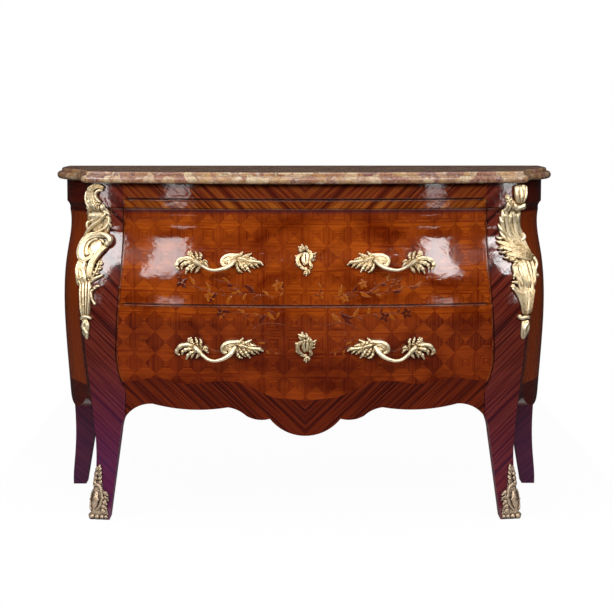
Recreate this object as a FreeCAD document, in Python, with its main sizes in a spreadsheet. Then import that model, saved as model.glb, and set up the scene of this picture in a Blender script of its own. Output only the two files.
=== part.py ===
"""Bombe commode chest: two drawers between cabriole posts, a marble top and gilt-bronze mounts."""
import FreeCAD
import Part
import Sketcher
import math
import operator
import os

Vector = FreeCAD.Vector
Rotation = FreeCAD.Rotation

doc = FreeCAD.newDocument("commode_chest")
sheet = doc.addObject("Spreadsheet::Sheet", "Sizes")

# Driving dimensions in millimetres: X to the right, Y to the back, Z up from the floor.
SIZES = {
    # Plan of the case at the frieze
    "case_height": 842,
    "back_y": 299,
    "case_depth": 474,
    "front_bow": 85,
    "corner_half_width": 527,
    "side_flare": 102,
    "side_curve_length": 360,
    # Swelling of the case: how far each level stands out from the frieze, or in from it
    "ankle_height": 150,
    "frieze_depth": 59,
    "cavetto_height": 22,
    "foot_out": 7,
    "ankle_in": 4.5,
    "apron_in": 22,
    "belly_out": 21,
    "step_in": 7.5,
    "rear_foot_out": 4,
    "rear_ankle_in": 6.5,
    "rear_belly_out": 10.5,
    # Marble top
    "marble_lower": 19,
    "marble_upper": 9,
    "marble_overhang": 25,
    "marble_inset": 12,
    "marble_back_overhang": 6,
    "marble_edge": 4,
    # Posts and legs
    "post_depth": 80,
    "rear_post_width": 83,
    "rear_post_depth": 90,
    "leg_shoulder_drop": 50,
    "leg_top_width": 66,
    "leg_foot_width": 35,
    "leg_top_depth": 67,
    "leg_foot_depth": 41,
    "leg_shoulder": 2.7,
    "rear_leg_top_width": 67,
    "rear_leg_foot_width": 27,
    "rear_leg_top_depth": 77,
    "rear_leg_foot_depth": 50,
    # Drawer opening seen from the front
    "reveal": 1.5,
    "rail_height": 39,
    "post_width": 82.5,
    "shoulder_out": 5,
    "split_out": 14.5,
    "wide_out": 20.5,
    "notch_out": 5.5,
    "notch_in": 1.5,
    "notch_rise": 70,
    "notch_height": 10,
    "notch_bow": 3.75,
    "apron_out": 1.5,
    "apron_end_height": 262,
    "apron_arch_raise": 36,
    "apron_arch_bow": 10,
    "apron_swag_raise": 31,
    "apron_swag_bow": 10,
    "apron_turn_raise": 10,
    "apron_turn_bow": 4,
    "apron_cusp_raise": 3,
    "apron_cusp_bow": 6,
    "apron_pendant_drop": 43,
    # Side panel
    "side_arch_length": 75,
    "side_arch_raise": 18,
    "side_arch_bow": 8,
    "side_drop": 30,
    # Boards and back frame
    "board_thickness": 16,
    "top_board_thickness": 18,
    "board_gap": 1,
    "dust_board_rise": 1.5,
    "bottom_board_rise": 40,
    "rail_inset": 50,
    "tenon_length": 28,
    "tenon_thickness": 12,
    "tenon_shoulder": 7,
    "kicker_width": 24,
    "guide_width": 20,
    "guide_height": 16,
    "back_thickness": 18,
    "back_tenon_cheek": 4.5,
    "back_top_rail_height": 80,
    "back_bottom_rail_height": 60,
    "back_muntin_width": 70,
    "back_panel_thickness": 8,
    "back_groove": 8,
    # Drawer boxes
    "front_inset": 29,
    "run_clearance": 0.3,
    "guide_clearance": 1,
    "box_inset": 3.5,
    "box_back_gap": 7,
    "box_side_thickness": 12,
    "box_side_drop": 12,
    "box_back_drop": 12,
    "box_floor_thickness": 8,
    "box_floor_raise": 8,
    "box_groove": 5,
    "tail_length": 14,
    # Gilt-bronze mounts
    "mount_thickness": 7,
    "mount_tip_half": 2.5,
    "handle_middle": 208,
    "handle_half": 60,
    "handle_reach": 46,
    "handle_bar_radius": 5.5,
    "handle_leaf_root": 40,
    "handle_leaf_tip": 105,
    "handle_leaf_width": 34,
    "handle_bolt_radius": 3,
    "handle_bolt_offset": 72,
    "nut_size": 13,
    "nut_thickness": 5,
    "escutcheon_width": 50,
    "escutcheon_below": 40,
    "escutcheon_above": 40,
    "keyhole_radius": 3.2,
    "keyhole_slot": 3.4,
    "keyhole_length": 13,
    "pin_radius": 1.3,
    "pin_depth": 9,
    "pin_proud": 0.6,
    "chute_drop": 4,
    "chute_crest_length": 150,
    "chute_shell_length": 103,
    "chute_leaf_length": 60,
    "chute_stem_length": 69,
    "chute_crest_half": 30,
    "chute_waist_half": 19,
    "chute_shell_half": 44,
    "chute_leaf_half": 33,
    "chute_stem_half": 10,
    "sabot_top": 142,
    "sabot_crest_height": 78,
    "sabot_crest_half": 20,
    "sabot_wrap_height": 52,
    "sabot_wrap_half": 36,
    # Locks
    "lock_half_width": 30,
    "lock_half_height": 35,
    "lock_depth": 14,
    "lock_let_in": 3,
    "lock_neck_half": 16,
    "lock_bolt_half": 9,
    "lock_bolt_thickness": 6,
    "lock_bolt_clearance": 0.4,
    "lock_bolt_gap": 0.6,
    "lock_bolt_drop": 1,
    "lock_bolt_tail": 10,
    "lock_bolt_throw": 12,
    "lock_screw_radius": 2,
    "lock_screw_length": 12,
}

# Margins, counts, shares and angles that are the same at any size
FLOOR_MARGIN = 20
NEAR = 0.01
SIDE_SWAY = 0.125
BELLY_SHARE = 0.634
SPLIT_SHARE = 0.5277
SHOULDER_SHARE = 0.48
WIDE_TOP_SHARE = 0.49
WIDE_LOW_SHARE = 0.32
HANDLE_SHARES = {"lower": 0.648, "upper": 0.417}
KEYHOLE_SHARES = {"lower": 0.662, "upper": 0.444}
APRON_ARCH = 0.845
APRON_SWAG = 0.426
APRON_TURN = 0.325
APRON_CUSP = 0.195
MARBLE_NOSE = 0.47
COVE_SHARE = 0.7
TAILS = 5
TAIL_WIDE = 0.34
TAIL_NARROW = 0.25
LEAF_LOBES = 4
LEAF_SCALLOP = 0.12
LEAF_ROOT = 0.2
PIN_SPREAD = 0.5
SCREW_SPREAD = 0.8
HANDLE_TILT = 35
CORNER_TURN = 54

for row, (alias, number) in enumerate(SIZES.items(), 1):
    sheet.set(f"A{row}", str(number))
    sheet.setAlias(f"A{row}", alias)
doc.recompute()

WORK = {"+": operator.add, "-": operator.sub, "*": operator.mul, "/": operator.truediv}


class Dim:
    """A length: the sheet expression that drives it, and its value now."""

    def __init__(self, text, value):
        self.text = text
        self.value = value

    def __add__(self, other):
        return joined(self, "+", other)

    def __radd__(self, other):
        return joined(other, "+", self)

    def __sub__(self, other):
        return joined(self, "-", other)

    def __rsub__(self, other):
        return joined(other, "-", self)

    def __mul__(self, other):
        return joined(self, "*", other)

    def __rmul__(self, other):
        return joined(other, "*", self)

    def __truediv__(self, other):
        return joined(self, "/", other)

    def __neg__(self):
        return joined(0, "-", self)


def dim(number):
    return number if isinstance(number, Dim) else Dim(f"({number:.7g})", number)


def square_root(length):
    return Dim(f"sqrt({length.text})", math.sqrt(length.value))


def joined(left, sign, right):
    left = dim(left)
    right = dim(right)
    return Dim(f"({left.text} {sign} {right.text})", WORK[sign](left.value, right.value))


class Cells:
    """Each cell of the sheet as a Dim of the same name."""

    def __getattr__(self, alias):
        return Dim(f"Sizes.{alias}", float(sheet.get(alias)))


S = Cells()

# Derived places that several pieces share
CORNER_Y = S.back_y - S.case_depth
REAR_HALF = S.corner_half_width + S.side_flare
FRIEZE = S.case_height - S.frieze_depth
STEP = FRIEZE - S.cavetto_height
BELLY = S.case_height * BELLY_SHARE
RAIL_BOTTOM = S.case_height - S.rail_height
SPLIT = S.apron_end_height + (RAIL_BOTTOM - S.apron_end_height) * SPLIT_SHARE
LEG_TOP = S.apron_end_height - S.leg_shoulder_drop
REACH = S.case_depth + S.front_bow
OUTSIDE = REAR_HALF + S.marble_overhang
POST_BACK_Y = CORNER_Y + S.post_depth
REAR_POST_Y = S.back_y - S.rear_post_depth
REAR_POST_HALF = REAR_HALF - S.rear_post_width
BACK_INNER_Y = S.back_y - S.back_thickness
WALL_INSET = S.front_inset + S.board_gap
DUST_BOTTOM = SPLIT + S.dust_board_rise
DUST_TOP = DUST_BOTTOM + S.board_thickness
BOTTOM_LOW = S.apron_end_height + S.bottom_board_rise
BOTTOM_TOP = BOTTOM_LOW + S.board_thickness
TOP_BOARD_BOTTOM = S.case_height - S.top_board_thickness
DRAWER_HALF = S.corner_half_width - S.post_width
POST_EDGE_HALF = DRAWER_HALF + S.reveal
BOX_HALF = DRAWER_HALF - S.box_inset
TOP = S.case_height + FLOOR_MARGIN
BELOW = dim(-FLOOR_MARGIN)

PLANES = {
    "plan": Rotation(),
    "front": Rotation(Vector(1, 0, 0), 90),
    "side": Rotation(Vector(1, 1, 1), 120),
    "corner": Rotation(Vector(0, 0, 1), CORNER_TURN).multiply(Rotation(Vector(1, 0, 0), 90)),
}


def place(item, at, rotation=None):
    """Set an object's turn, and tie its place to the sheet."""
    if rotation:
        item.Placement = FreeCAD.Placement(Vector(), rotation)
    for axis, value in zip("xyz", at):
        item.setExpression(f"Placement.Base.{axis}", dim(value).text)
    return item


def block(name, x, y, z):
    """A box between two limits along each axis."""
    box = doc.addObject("Part::Box", name)
    for side, (low, high) in zip(("Length", "Width", "Height"), (x, y, z)):
        box.setExpression(side, (high - dim(low)).text)
    return place(box, (x[0], y[0], z[0]))


def rod(name, radius, length, at, rotation):
    cylinder = doc.addObject("Part::Cylinder", name)
    cylinder.setExpression("Radius", radius.text)
    cylinder.setExpression("Height", length.text)
    return place(cylinder, at, rotation)


def common(name, *pieces):
    item = doc.addObject("Part::MultiCommon", name)
    item.Shapes = list(pieces)
    return item


def fuse(name, *pieces):
    item = doc.addObject("Part::MultiFuse", name)
    item.Shapes = list(pieces)
    return item


def cut(name, base, *tools):
    item = doc.addObject("Part::Cut", name)
    item.Base = base
    item.Tool = tools[0] if len(tools) == 1 else fuse(f"{name}_tools", *tools)
    return item


def group(name, *pieces):
    item = doc.addObject("Part::Compound", name)
    item.Links = list(pieces)
    return item


def mirror(name, source):
    """The same piece on the other side of the middle."""
    item = doc.addObject("Part::Mirroring", name)
    item.Source = source
    item.Normal = Vector(1, 0, 0)
    return item


def profile(name, plane, at, points):
    """A closed sketch through (u, v, rise) points: rise bows the side that ends at the point outwards."""
    sketch = doc.addObject("Sketcher::SketchObject", name)
    place(sketch, at, PLANES[plane])
    points = [tuple(dim(value) for value in point) for point in points]
    ends = []
    drives = []
    for index, (u, v, rise) in enumerate(points):
        before_u, before_v, _ = points[index - 1]
        start = Vector(before_u.value, before_v.value, 0)
        end = Vector(u.value, v.value, 0)
        if rise.value == 0:
            sketch.addGeometry(Part.LineSegment(start, end))
            ends.append((1, 2))
        else:
            run_u = u - before_u
            run_v = v - before_v
            size = rise if rise.value > 0 else -rise
            radius = ((run_u * run_u + run_v * run_v) / 4 + size * size) / (2 * size)
            half = (end - start) / 2
            outward = Vector(half.y, -half.x, 0).normalize()
            reach = rise.value - math.copysign(radius.value, rise.value)
            centre = start + half + outward * reach
            angles = [math.atan2(p.y - centre.y, p.x - centre.x) for p in (start, end)]
            turn = 1 if rise.value > 0 else -1
            circle = Part.Circle(centre, Vector(0, 0, 1), radius.value)
            sketch.addGeometry(Part.ArcOfCircle(circle, *angles[::turn]))
            ends.append((1, 2)[::turn])
            drives.append((f"radius_{index}", ("Radius", index), radius))
        where = (-1, 1, index, ends[-1][1])
        drives.append((f"across_{index}", ("DistanceX", *where), u))
        drives.append((f"along_{index}", ("DistanceY", *where), v))
    for index, (_, end_point) in enumerate(ends):
        following = (index + 1) % len(ends)
        joint = (index, end_point, following, ends[following][0])
        sketch.addConstraint(Sketcher.Constraint("Coincident", *joint))
    for label, constraint, value in drives:
        number = sketch.addConstraint(Sketcher.Constraint(*constraint, value.value))
        sketch.renameConstraint(number, label)
        sketch.setExpression(f"Constraints.{label}", value.text)
    return sketch


def prism(name, sketch, forward, backward=0):
    """A sketch carried along its own normal, both ways."""
    solid = doc.addObject("Part::Extrusion", name)
    solid.Base = sketch
    solid.DirMode = "Normal"
    solid.setExpression("LengthFwd", dim(forward).text)
    solid.setExpression("LengthRev", dim(backward).text)
    solid.Solid = True
    return solid


def loft(name, sections):
    solid = doc.addObject("Part::Loft", name)
    solid.Sections = sections
    solid.Solid = True
    return solid


def plan(name, height, front, corner, rear, back=0):
    """Plan of the case: a bowed front, S-curved sides and a flat back, each moved out from the frieze."""
    corner_x = S.corner_half_width + corner
    corner_y = CORNER_Y - corner
    bow = S.front_bow + front - corner
    rear_x = REAR_HALF + rear
    curve_end = CORNER_Y + S.side_curve_length
    back_y = S.back_y + back
    middle = ((corner_x + rear_x) / 2, (corner_y + curve_end) / 2)
    sway = (rear_x - corner_x) * SIDE_SWAY
    points = [
        (corner_x, corner_y, bow),
        (*middle, -sway),
        (rear_x, curve_end, sway),
        (rear_x, back_y, 0),
        (-rear_x, back_y, 0),
        (-rear_x, curve_end, 0),
        (-middle[0], middle[1], sway),
        (-corner_x, corner_y, -sway),
    ]
    return profile(name, "plan", (0, 0, height), points)


def eased(share):
    return (1 - math.cos(math.pi * share)) / 2


# Levels of the case: height, then how far the front, the corner and the rear stand out
LEVELS = [
    (dim(0), -S.apron_in, S.foot_out, S.rear_foot_out),
    (S.ankle_height, -S.apron_in, -S.ankle_in, -S.rear_ankle_in),
    (BELLY, S.belly_out, S.belly_out, S.rear_belly_out),
    (STEP, -S.step_in, -S.step_in, -S.step_in),
]
STATIONS = [(0, 0), (0, 0.5), (1, 0), (1, 1 / 3), (1, 2 / 3), (2, 0), (2, 0.5), (2, 1)]


def level(zone, share):
    """The height and the three offsets at a share of the way up one zone of the swelling."""
    low = LEVELS[zone]
    high = LEVELS[zone + 1]
    height = low[0] + (high[0] - low[0]) * share
    offsets = [a + (b - a) * eased(share) for a, b in zip(low[1:], high[1:])]
    return (height, *offsets)


def level_at(height):
    """The three offsets at any height below the frieze."""
    zone = max(i for i in range(len(LEVELS) - 1) if height.value >= LEVELS[i][0].value)
    low = LEVELS[zone][0].value
    high = LEVELS[zone + 1][0].value
    return level(zone, min(1, (height.value - low) / (high - low)))[1:]


def case_form(name, extra):
    """The whole outside of the case, standing out by an extra skin."""
    sections = []
    for number, station in enumerate(STATIONS):
        height, *offsets = level(*station)
        sections.append(plan(f"{name}_plan_{number}", height, *[o + extra for o in offsets]))
    body = loft(f"{name}_body", sections)
    cove_height = STEP + (FRIEZE - STEP) * COVE_SHARE
    cove_in = extra - S.step_in * math.sqrt(1 - COVE_SHARE**2)
    cove = plan(f"{name}_cove_plan", cove_height, cove_in, cove_in, cove_in)
    frieze = plan(f"{name}_frieze_plan", FRIEZE, extra, extra, extra)
    moulding = loft(f"{name}_moulding", [sections[-1], cove, frieze])
    band = prism(f"{name}_band", frieze, S.case_height - FRIEZE)
    return fuse(name, body, moulding, band), frieze


def inset_prism(name, inset, back=FLOOR_MARGIN):
    """An upright core: the plan of the frieze drawn in at the front and sides."""
    core = plan(f"{name}_plan", 2 * BELOW, -inset, -inset, -inset, back)
    return prism(name, core, S.case_height - 4 * BELOW)


def fall(x, half, bow):
    """How far behind its nose a bowed front lies, at a distance from the middle."""
    radius = (half * half + bow * bow) / (2 * bow)
    return radius - square_root(radius * radius - x * x)


def front_y(x, height):
    """The front surface of the case at a place on it."""
    front, corner, _ = level_at(height)
    bow = S.front_bow + front - corner
    return CORNER_Y - S.front_bow - front + fall(x, S.corner_half_width + corner, bow)


def inner_y(x):
    """The inner face of the drawer fronts."""
    nose = CORNER_Y - S.front_bow + S.front_inset
    return nose + fall(x, S.corner_half_width - S.front_inset, S.front_bow)


def leaf(name, root, tip, width, lobes=LEAF_LOBES):
    """A scalloped leaf seen from the front, widest near its root and pointed at its tip."""
    run = (tip[0] - root[0], tip[1] - root[1])
    length = math.hypot(run[0].value, run[1].value)
    across = (-run[1].value / length, run[0].value / length)
    scallop = width * LEAF_SCALLOP

    def edge(share, side):
        swell = side * math.sin(math.pi * (LEAF_ROOT + (1 - LEAF_ROOT) * share)) / 2
        return tuple(root[i] + run[i] * share + width * (swell * across[i]) for i in range(2))

    shares = [number / lobes for number in range(lobes)]
    points = [(*edge(share, -1), scallop) for share in shares]
    points.append((tip[0], tip[1], scallop))
    points += [(*edge(share, 1), scallop) for share in reversed(shares)]
    return profile(name, "front", (0, 0, 0), points)


NODES = []


def node(label, item):
    """Name a finished piece."""
    item.Label = label
    NODES.append(item)
    return item


def pair(label, item):
    """A right-hand piece and its mirrored left-hand one."""
    node(f"right_{label}", item)
    return node(f"left_{label}", mirror(f"left_{label}", item))


# Forms that the pieces are cut from
case, frieze_plan = case_form("case", 0)
mount_form, _ = case_form("mount_form", S.mount_thickness)
skin = cut("mount_skin", mount_form, case)
case_core = inset_prism("case_core", WALL_INSET, -S.back_thickness)
drawer_core = inset_prism("drawer_core", S.front_inset)
rail_core = inset_prism("rail_core", S.rail_inset)


def drawer_edge(gap):
    """The right-hand edge of the drawers from the frieze down to the apron, and of the post a gap away."""
    notch_low = S.apron_end_height + S.notch_rise
    notch_high = notch_low + S.notch_height
    swell = SPLIT - notch_high
    edge = DRAWER_HALF + gap
    return [
        (edge, RAIL_BOTTOM, 0),
        (edge + S.shoulder_out, SPLIT + (STEP - SPLIT) * SHOULDER_SHARE, 0),
        (edge + S.split_out, SPLIT, 0),
        (edge + S.wide_out, notch_high + swell * WIDE_TOP_SHARE, 0),
        (edge + S.wide_out, notch_high + swell * WIDE_LOW_SHARE, 0),
        (edge + S.notch_out, notch_high, -S.notch_bow),
        (edge - S.notch_in, notch_low, 0),
        (edge + S.apron_out, S.apron_end_height, 0),
    ]


def marble_top():
    """A slab with a bullnose edge and a smaller step above it, following the plan of the frieze."""
    layers = []
    top = S.case_height + S.marble_lower
    stack = (
        ("lower", S.marble_overhang, S.case_height, S.marble_lower),
        ("upper", S.marble_overhang - S.marble_inset, top, S.marble_upper),
    )
    for name, overhang, height, thickness in stack:
        edge = doc.addObject("Part::Offset2D", f"marble_{name}_edge")
        edge.Source = frieze_plan
        edge.setExpression("Value", overhang.text)
        edge.setExpression("Placement.Base.z", (height - FRIEZE).text)
        layers.append(prism(f"marble_{name}", edge, thickness))
    slab = fuse("marble_slab", *layers)
    limits = block(
        "marble_limits",
        (-OUTSIDE - FLOOR_MARGIN, OUTSIDE + FLOOR_MARGIN),
        (-REACH, S.back_y + S.marble_back_overhang),
        (S.case_height, TOP + FLOOR_MARGIN),
    )
    trimmed = common("marble_trimmed", slab, limits)
    doc.recompute()
    back = (S.back_y + S.marble_back_overhang).value
    nose = S.marble_lower.value * MARBLE_NOSE
    radii = {
        S.case_height.value: nose,
        top.value: nose,
        (top + S.marble_upper).value: S.marble_edge.value,
    }
    rounded = doc.addObject("Part::Fillet", "marble_rounded")
    rounded.Base = trimmed
    edges = []
    for number, edge in enumerate(trimmed.Shape.Edges, 1):
        box = edge.BoundBox
        level_edge = box.ZLength < NEAR
        behind = box.YLength < NEAR and abs(box.YMin - back) < NEAR
        if not level_edge or behind:
            continue
        for height, radius in radii.items():
            inside = height == top.value and not outermost(edge, trimmed.Shape)
            if abs(box.ZMin - height) < NEAR and not inside:
                edges.append((number, radius, radius))
    rounded.Edges = edges
    return node("marble_top", rounded)


def outermost(edge, shape):
    """Whether an edge of the step's level lies on the rim of the lower slab."""
    faces = [face for face in shape.Faces if any(edge.isSame(other) for other in face.Edges)]
    low = edge.BoundBox.ZMin - NEAR
    return all(face.BoundBox.ZMin < low or face.BoundBox.ZLength < NEAR for face in faces)


def front_posts():
    """Posts that run down into cabriole legs, sawn to one outline from the front and one from the side."""
    face = [
        (S.corner_half_width - S.leg_foot_width, BELOW, 0),
        (OUTSIDE, BELOW, 0),
        (OUTSIDE, TOP, 0),
        (POST_EDGE_HALF, TOP, 0),
        *drawer_edge(S.reveal),
    ]
    face.append((S.corner_half_width - S.leg_top_width, LEG_TOP, -S.leg_shoulder))
    front = prism("post_front", profile("post_face", "front", (0, 0, 0), face), REACH, REACH)
    flank = [
        (-REACH, BELOW, 0),
        (CORNER_Y + S.leg_foot_depth, BELOW, 0),
        (CORNER_Y + S.leg_top_depth, LEG_TOP, 0),
        (POST_BACK_Y, S.apron_end_height, -S.leg_shoulder),
        (POST_BACK_Y, TOP, 0),
        (-REACH, TOP, 0),
    ]
    side = prism("post_side", profile("post_flank", "side", (0, 0, 0), flank), OUTSIDE)
    return common("front_post_blank", case, front, side)


def rear_posts():
    face = [
        (REAR_HALF - S.rear_leg_foot_width, BELOW, 0),
        (OUTSIDE, BELOW, 0),
        (OUTSIDE, TOP, 0),
        (REAR_POST_HALF, TOP, 0),
        (REAR_POST_HALF, S.apron_end_height, 0),
        (REAR_HALF - S.rear_leg_top_width, LEG_TOP, -S.leg_shoulder),
    ]
    front = prism("rear_post_front", profile("rear_post_face", "front", (0, 0, 0), face), REACH, REACH)
    flank = [
        (S.back_y - S.rear_leg_foot_depth, BELOW, 0),
        (REACH, BELOW, 0),
        (REACH, TOP, 0),
        (REAR_POST_Y, TOP, 0),
        (REAR_POST_Y, S.apron_end_height, 0),
        (S.back_y - S.rear_leg_top_depth, LEG_TOP, -S.leg_shoulder),
    ]
    side = prism("rear_post_side", profile("rear_post_flank", "side", (0, 0, 0), flank), OUTSIDE)
    return common("rear_post_blank", case, front, side)


def side_panels():
    """Serpentine panels between the posts, with a shaped lower edge."""
    near = POST_BACK_Y + S.side_arch_length
    far = REAR_POST_Y - S.side_arch_length
    arch = S.apron_end_height + S.side_arch_raise
    flank = [
        (POST_BACK_Y, S.apron_end_height, 0),
        (near, arch, -S.side_arch_bow),
        (far, arch, S.side_drop),
        (REAR_POST_Y, S.apron_end_height, -S.side_arch_bow),
        (REAR_POST_Y, TOP, 0),
        (POST_BACK_Y, TOP, 0),
    ]
    side = prism("panel_side", profile("panel_flank", "side", (0, 0, 0), flank), OUTSIDE)
    return cut("side_panel", common("side_panel_blank", case, side), case_core)


def frieze_rail():
    """The rail over the upper drawer, bowed like the front, with a tenon at each end."""
    span = block("rail_span", (-POST_EDGE_HALF, POST_EDGE_HALF), (-REACH, REACH), (RAIL_BOTTOM, TOP))
    rail = cut("rail_body", common("rail_blank", case, span), rail_core)
    tenon_y = inner_y(POST_EDGE_HALF)
    tenon = block(
        "rail_tenon",
        (POST_EDGE_HALF, POST_EDGE_HALF + S.tenon_length),
        (tenon_y - S.tenon_thickness, tenon_y),
        (RAIL_BOTTOM + S.tenon_shoulder, S.case_height - S.tenon_shoulder),
    )
    return rail, tenon


def back_frame():
    """Top and bottom rails tenoned into the rear posts, a muntin, and two thin panels in grooves."""
    top_low = S.case_height - S.back_top_rail_height
    low = BOTTOM_LOW
    low_top = low + S.back_bottom_rail_height
    muntin_half = S.back_muntin_width / 2
    depth = (BACK_INNER_Y, S.back_y)
    tenon_depth = (BACK_INNER_Y + S.back_tenon_cheek, S.back_y - S.back_tenon_cheek)
    panel_y = BACK_INNER_Y + (S.back_thickness - S.back_panel_thickness) / 2
    panel = block(
        "right_back_panel",
        (muntin_half - S.back_groove, REAR_POST_HALF + S.back_groove),
        (panel_y, panel_y + S.back_panel_thickness),
        (low_top - S.back_groove, top_low + S.back_groove),
    )
    panels = (panel, mirror("left_back_panel", panel))
    tenons = []
    for name, bottom, top in (("back_bottom_rail", low, low_top), ("back_top_rail", top_low, S.case_height)):
        body = block(f"{name}_body", (-REAR_POST_HALF, REAR_POST_HALF), depth, (bottom, top))
        tenon = block(
            f"{name}_tenon",
            (REAR_POST_HALF, REAR_POST_HALF + S.tenon_length),
            tenon_depth,
            (bottom + S.tenon_shoulder, top - S.tenon_shoulder),
        )
        tenons.append(tenon)
        whole = fuse(f"{name}_whole", body, tenon, mirror(f"{name}_left_tenon", tenon))
        node(name, cut(name, whole, *panels))
    muntin = block("muntin_body", (-muntin_half, muntin_half), depth, (low_top, top_low))
    node("back_muntin", cut("back_muntin", muntin, *panels))
    node("right_back_panel", panels[0])
    node("left_back_panel", panels[1])
    return tenons, panel


def boards(posts, rail):
    """Dust board, bottom board and top board between the walls, with the strips that guide the drawers."""
    inside = (-OUTSIDE, OUTSIDE)
    deep = (-REACH, BACK_INNER_Y)
    heights = {
        "dust_board": (DUST_BOTTOM, DUST_TOP),
        "bottom_board": (BOTTOM_LOW, BOTTOM_TOP),
    }
    catch = lock_catch("lower", DUST_BOTTOM)
    for name, height in heights.items():
        slab = common(f"{name}_slab", case_core, block(f"{name}_zone", inside, deep, height))
        tools = [posts] if name == "bottom_board" else [posts, catch]
        node(name, cut(name, slab, *tools))
    zone = block("top_board_zone", inside, deep, (TOP_BOARD_BOTTOM, S.case_height))
    top_board = cut("top_board", common("top_board_slab", case_core, zone), posts, rail)
    node("top_board", top_board)
    guide_half = BOX_HALF + S.guide_clearance
    for name, height in (("upper_guide", DUST_TOP), ("lower_guide", BOTTOM_TOP)):
        strip = block(
            name,
            (guide_half, guide_half + S.guide_width),
            (POST_BACK_Y, REAR_POST_Y),
            (height, height + S.guide_height),
        )
        pair(name, strip)
    kicker_bottom = RAIL_BOTTOM - S.box_side_drop + S.guide_clearance
    kicker = block(
        "kicker_blank",
        (BOX_HALF - S.kicker_width + S.guide_clearance, BOX_HALF + S.guide_clearance),
        (-REACH, BACK_INNER_Y),
        (kicker_bottom, TOP_BOARD_BOTTOM),
    )
    behind = common("kicker_zone", kicker, case_core)
    pair("kicker", cut("kicker", behind, rail))


def lock_catch(name, height):
    """The slot that a lock bolt shoots up into."""
    slack = S.lock_bolt_clearance
    bolt_y = inner_y(dim(0)) + S.lock_bolt_gap
    return block(
        f"{name}_lock_catch",
        (-S.lock_bolt_half - slack, S.lock_bolt_half + slack),
        (bolt_y - slack, bolt_y + S.lock_bolt_thickness + slack),
        (height - slack, height + S.lock_bolt_throw),
    )


def lock(name, keyhole, top):
    """A lock let into the inside of the drawer front: a case with a long neck, and the bolt in it."""
    face_y = inner_y(dim(0)) - S.lock_let_in
    depth = (face_y, face_y + S.lock_depth)
    main = block(
        f"{name}_lock_main",
        (-S.lock_half_width, S.lock_half_width),
        depth,
        (keyhole - S.lock_half_height, keyhole + S.lock_half_height),
    )
    neck = block(f"{name}_lock_neck", (-S.lock_neck_half, S.lock_neck_half), depth, (keyhole, top))
    whole = fuse(f"{name}_lock_whole", main, neck)
    slack = S.lock_bolt_clearance
    bolt_y = face_y + S.lock_let_in + S.lock_bolt_gap
    bolt_low = keyhole + S.lock_bolt_tail
    bolt = block(
        f"{name}_lock_bolt",
        (-S.lock_bolt_half, S.lock_bolt_half),
        (bolt_y, bolt_y + S.lock_bolt_thickness),
        (bolt_low, top - S.lock_bolt_drop),
    )
    channel = block(
        f"{name}_lock_channel",
        (-S.lock_bolt_half - slack, S.lock_bolt_half + slack),
        (bolt_y - slack, bolt_y + S.lock_bolt_thickness + slack),
        (bolt_low, TOP),
    )
    screws = []
    for number, (side, rise) in enumerate(((-1, -1), (1, -1), (-1, 1), (1, 1))):
        at = (
            side * SCREW_SPREAD * S.lock_half_width,
            face_y - S.lock_screw_length + S.lock_depth,
            keyhole + rise * SCREW_SPREAD * S.lock_half_height,
        )
        turn = Rotation(Vector(1, 0, 0), -90)
        screws.append(rod(f"{name}_lock_screw_{number}", S.lock_screw_radius, S.lock_screw_length, at, turn))
    return whole, bolt, channel, screws


def dovetails(name, bottom, top):
    """The tails at the front end of the right-hand drawer side."""
    start = inner_y(BOX_HALF) - S.tail_length
    pitch = (top - bottom) / TAILS
    wedges = []
    for number in range(TAILS):
        middle = bottom + pitch * (number + 0.5)
        wedge = doc.addObject("Part::Wedge", f"{name}_tail_{number}")
        limits = {
            "Xmin": BOX_HALF - S.box_side_thickness,
            "X2min": BOX_HALF - S.box_side_thickness,
            "Xmax": BOX_HALF,
            "X2max": BOX_HALF,
            "Ymin": start,
            "Ymax": start + 2 * S.tail_length,
            "Zmin": middle - pitch * TAIL_WIDE,
            "Zmax": middle + pitch * TAIL_WIDE,
            "Z2min": middle - pitch * TAIL_NARROW,
            "Z2max": middle + pitch * TAIL_NARROW,
        }
        for prop, value in limits.items():
            wedge.setExpression(prop, value.text)
        wedges.append(wedge)
    return wedges, start


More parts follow.
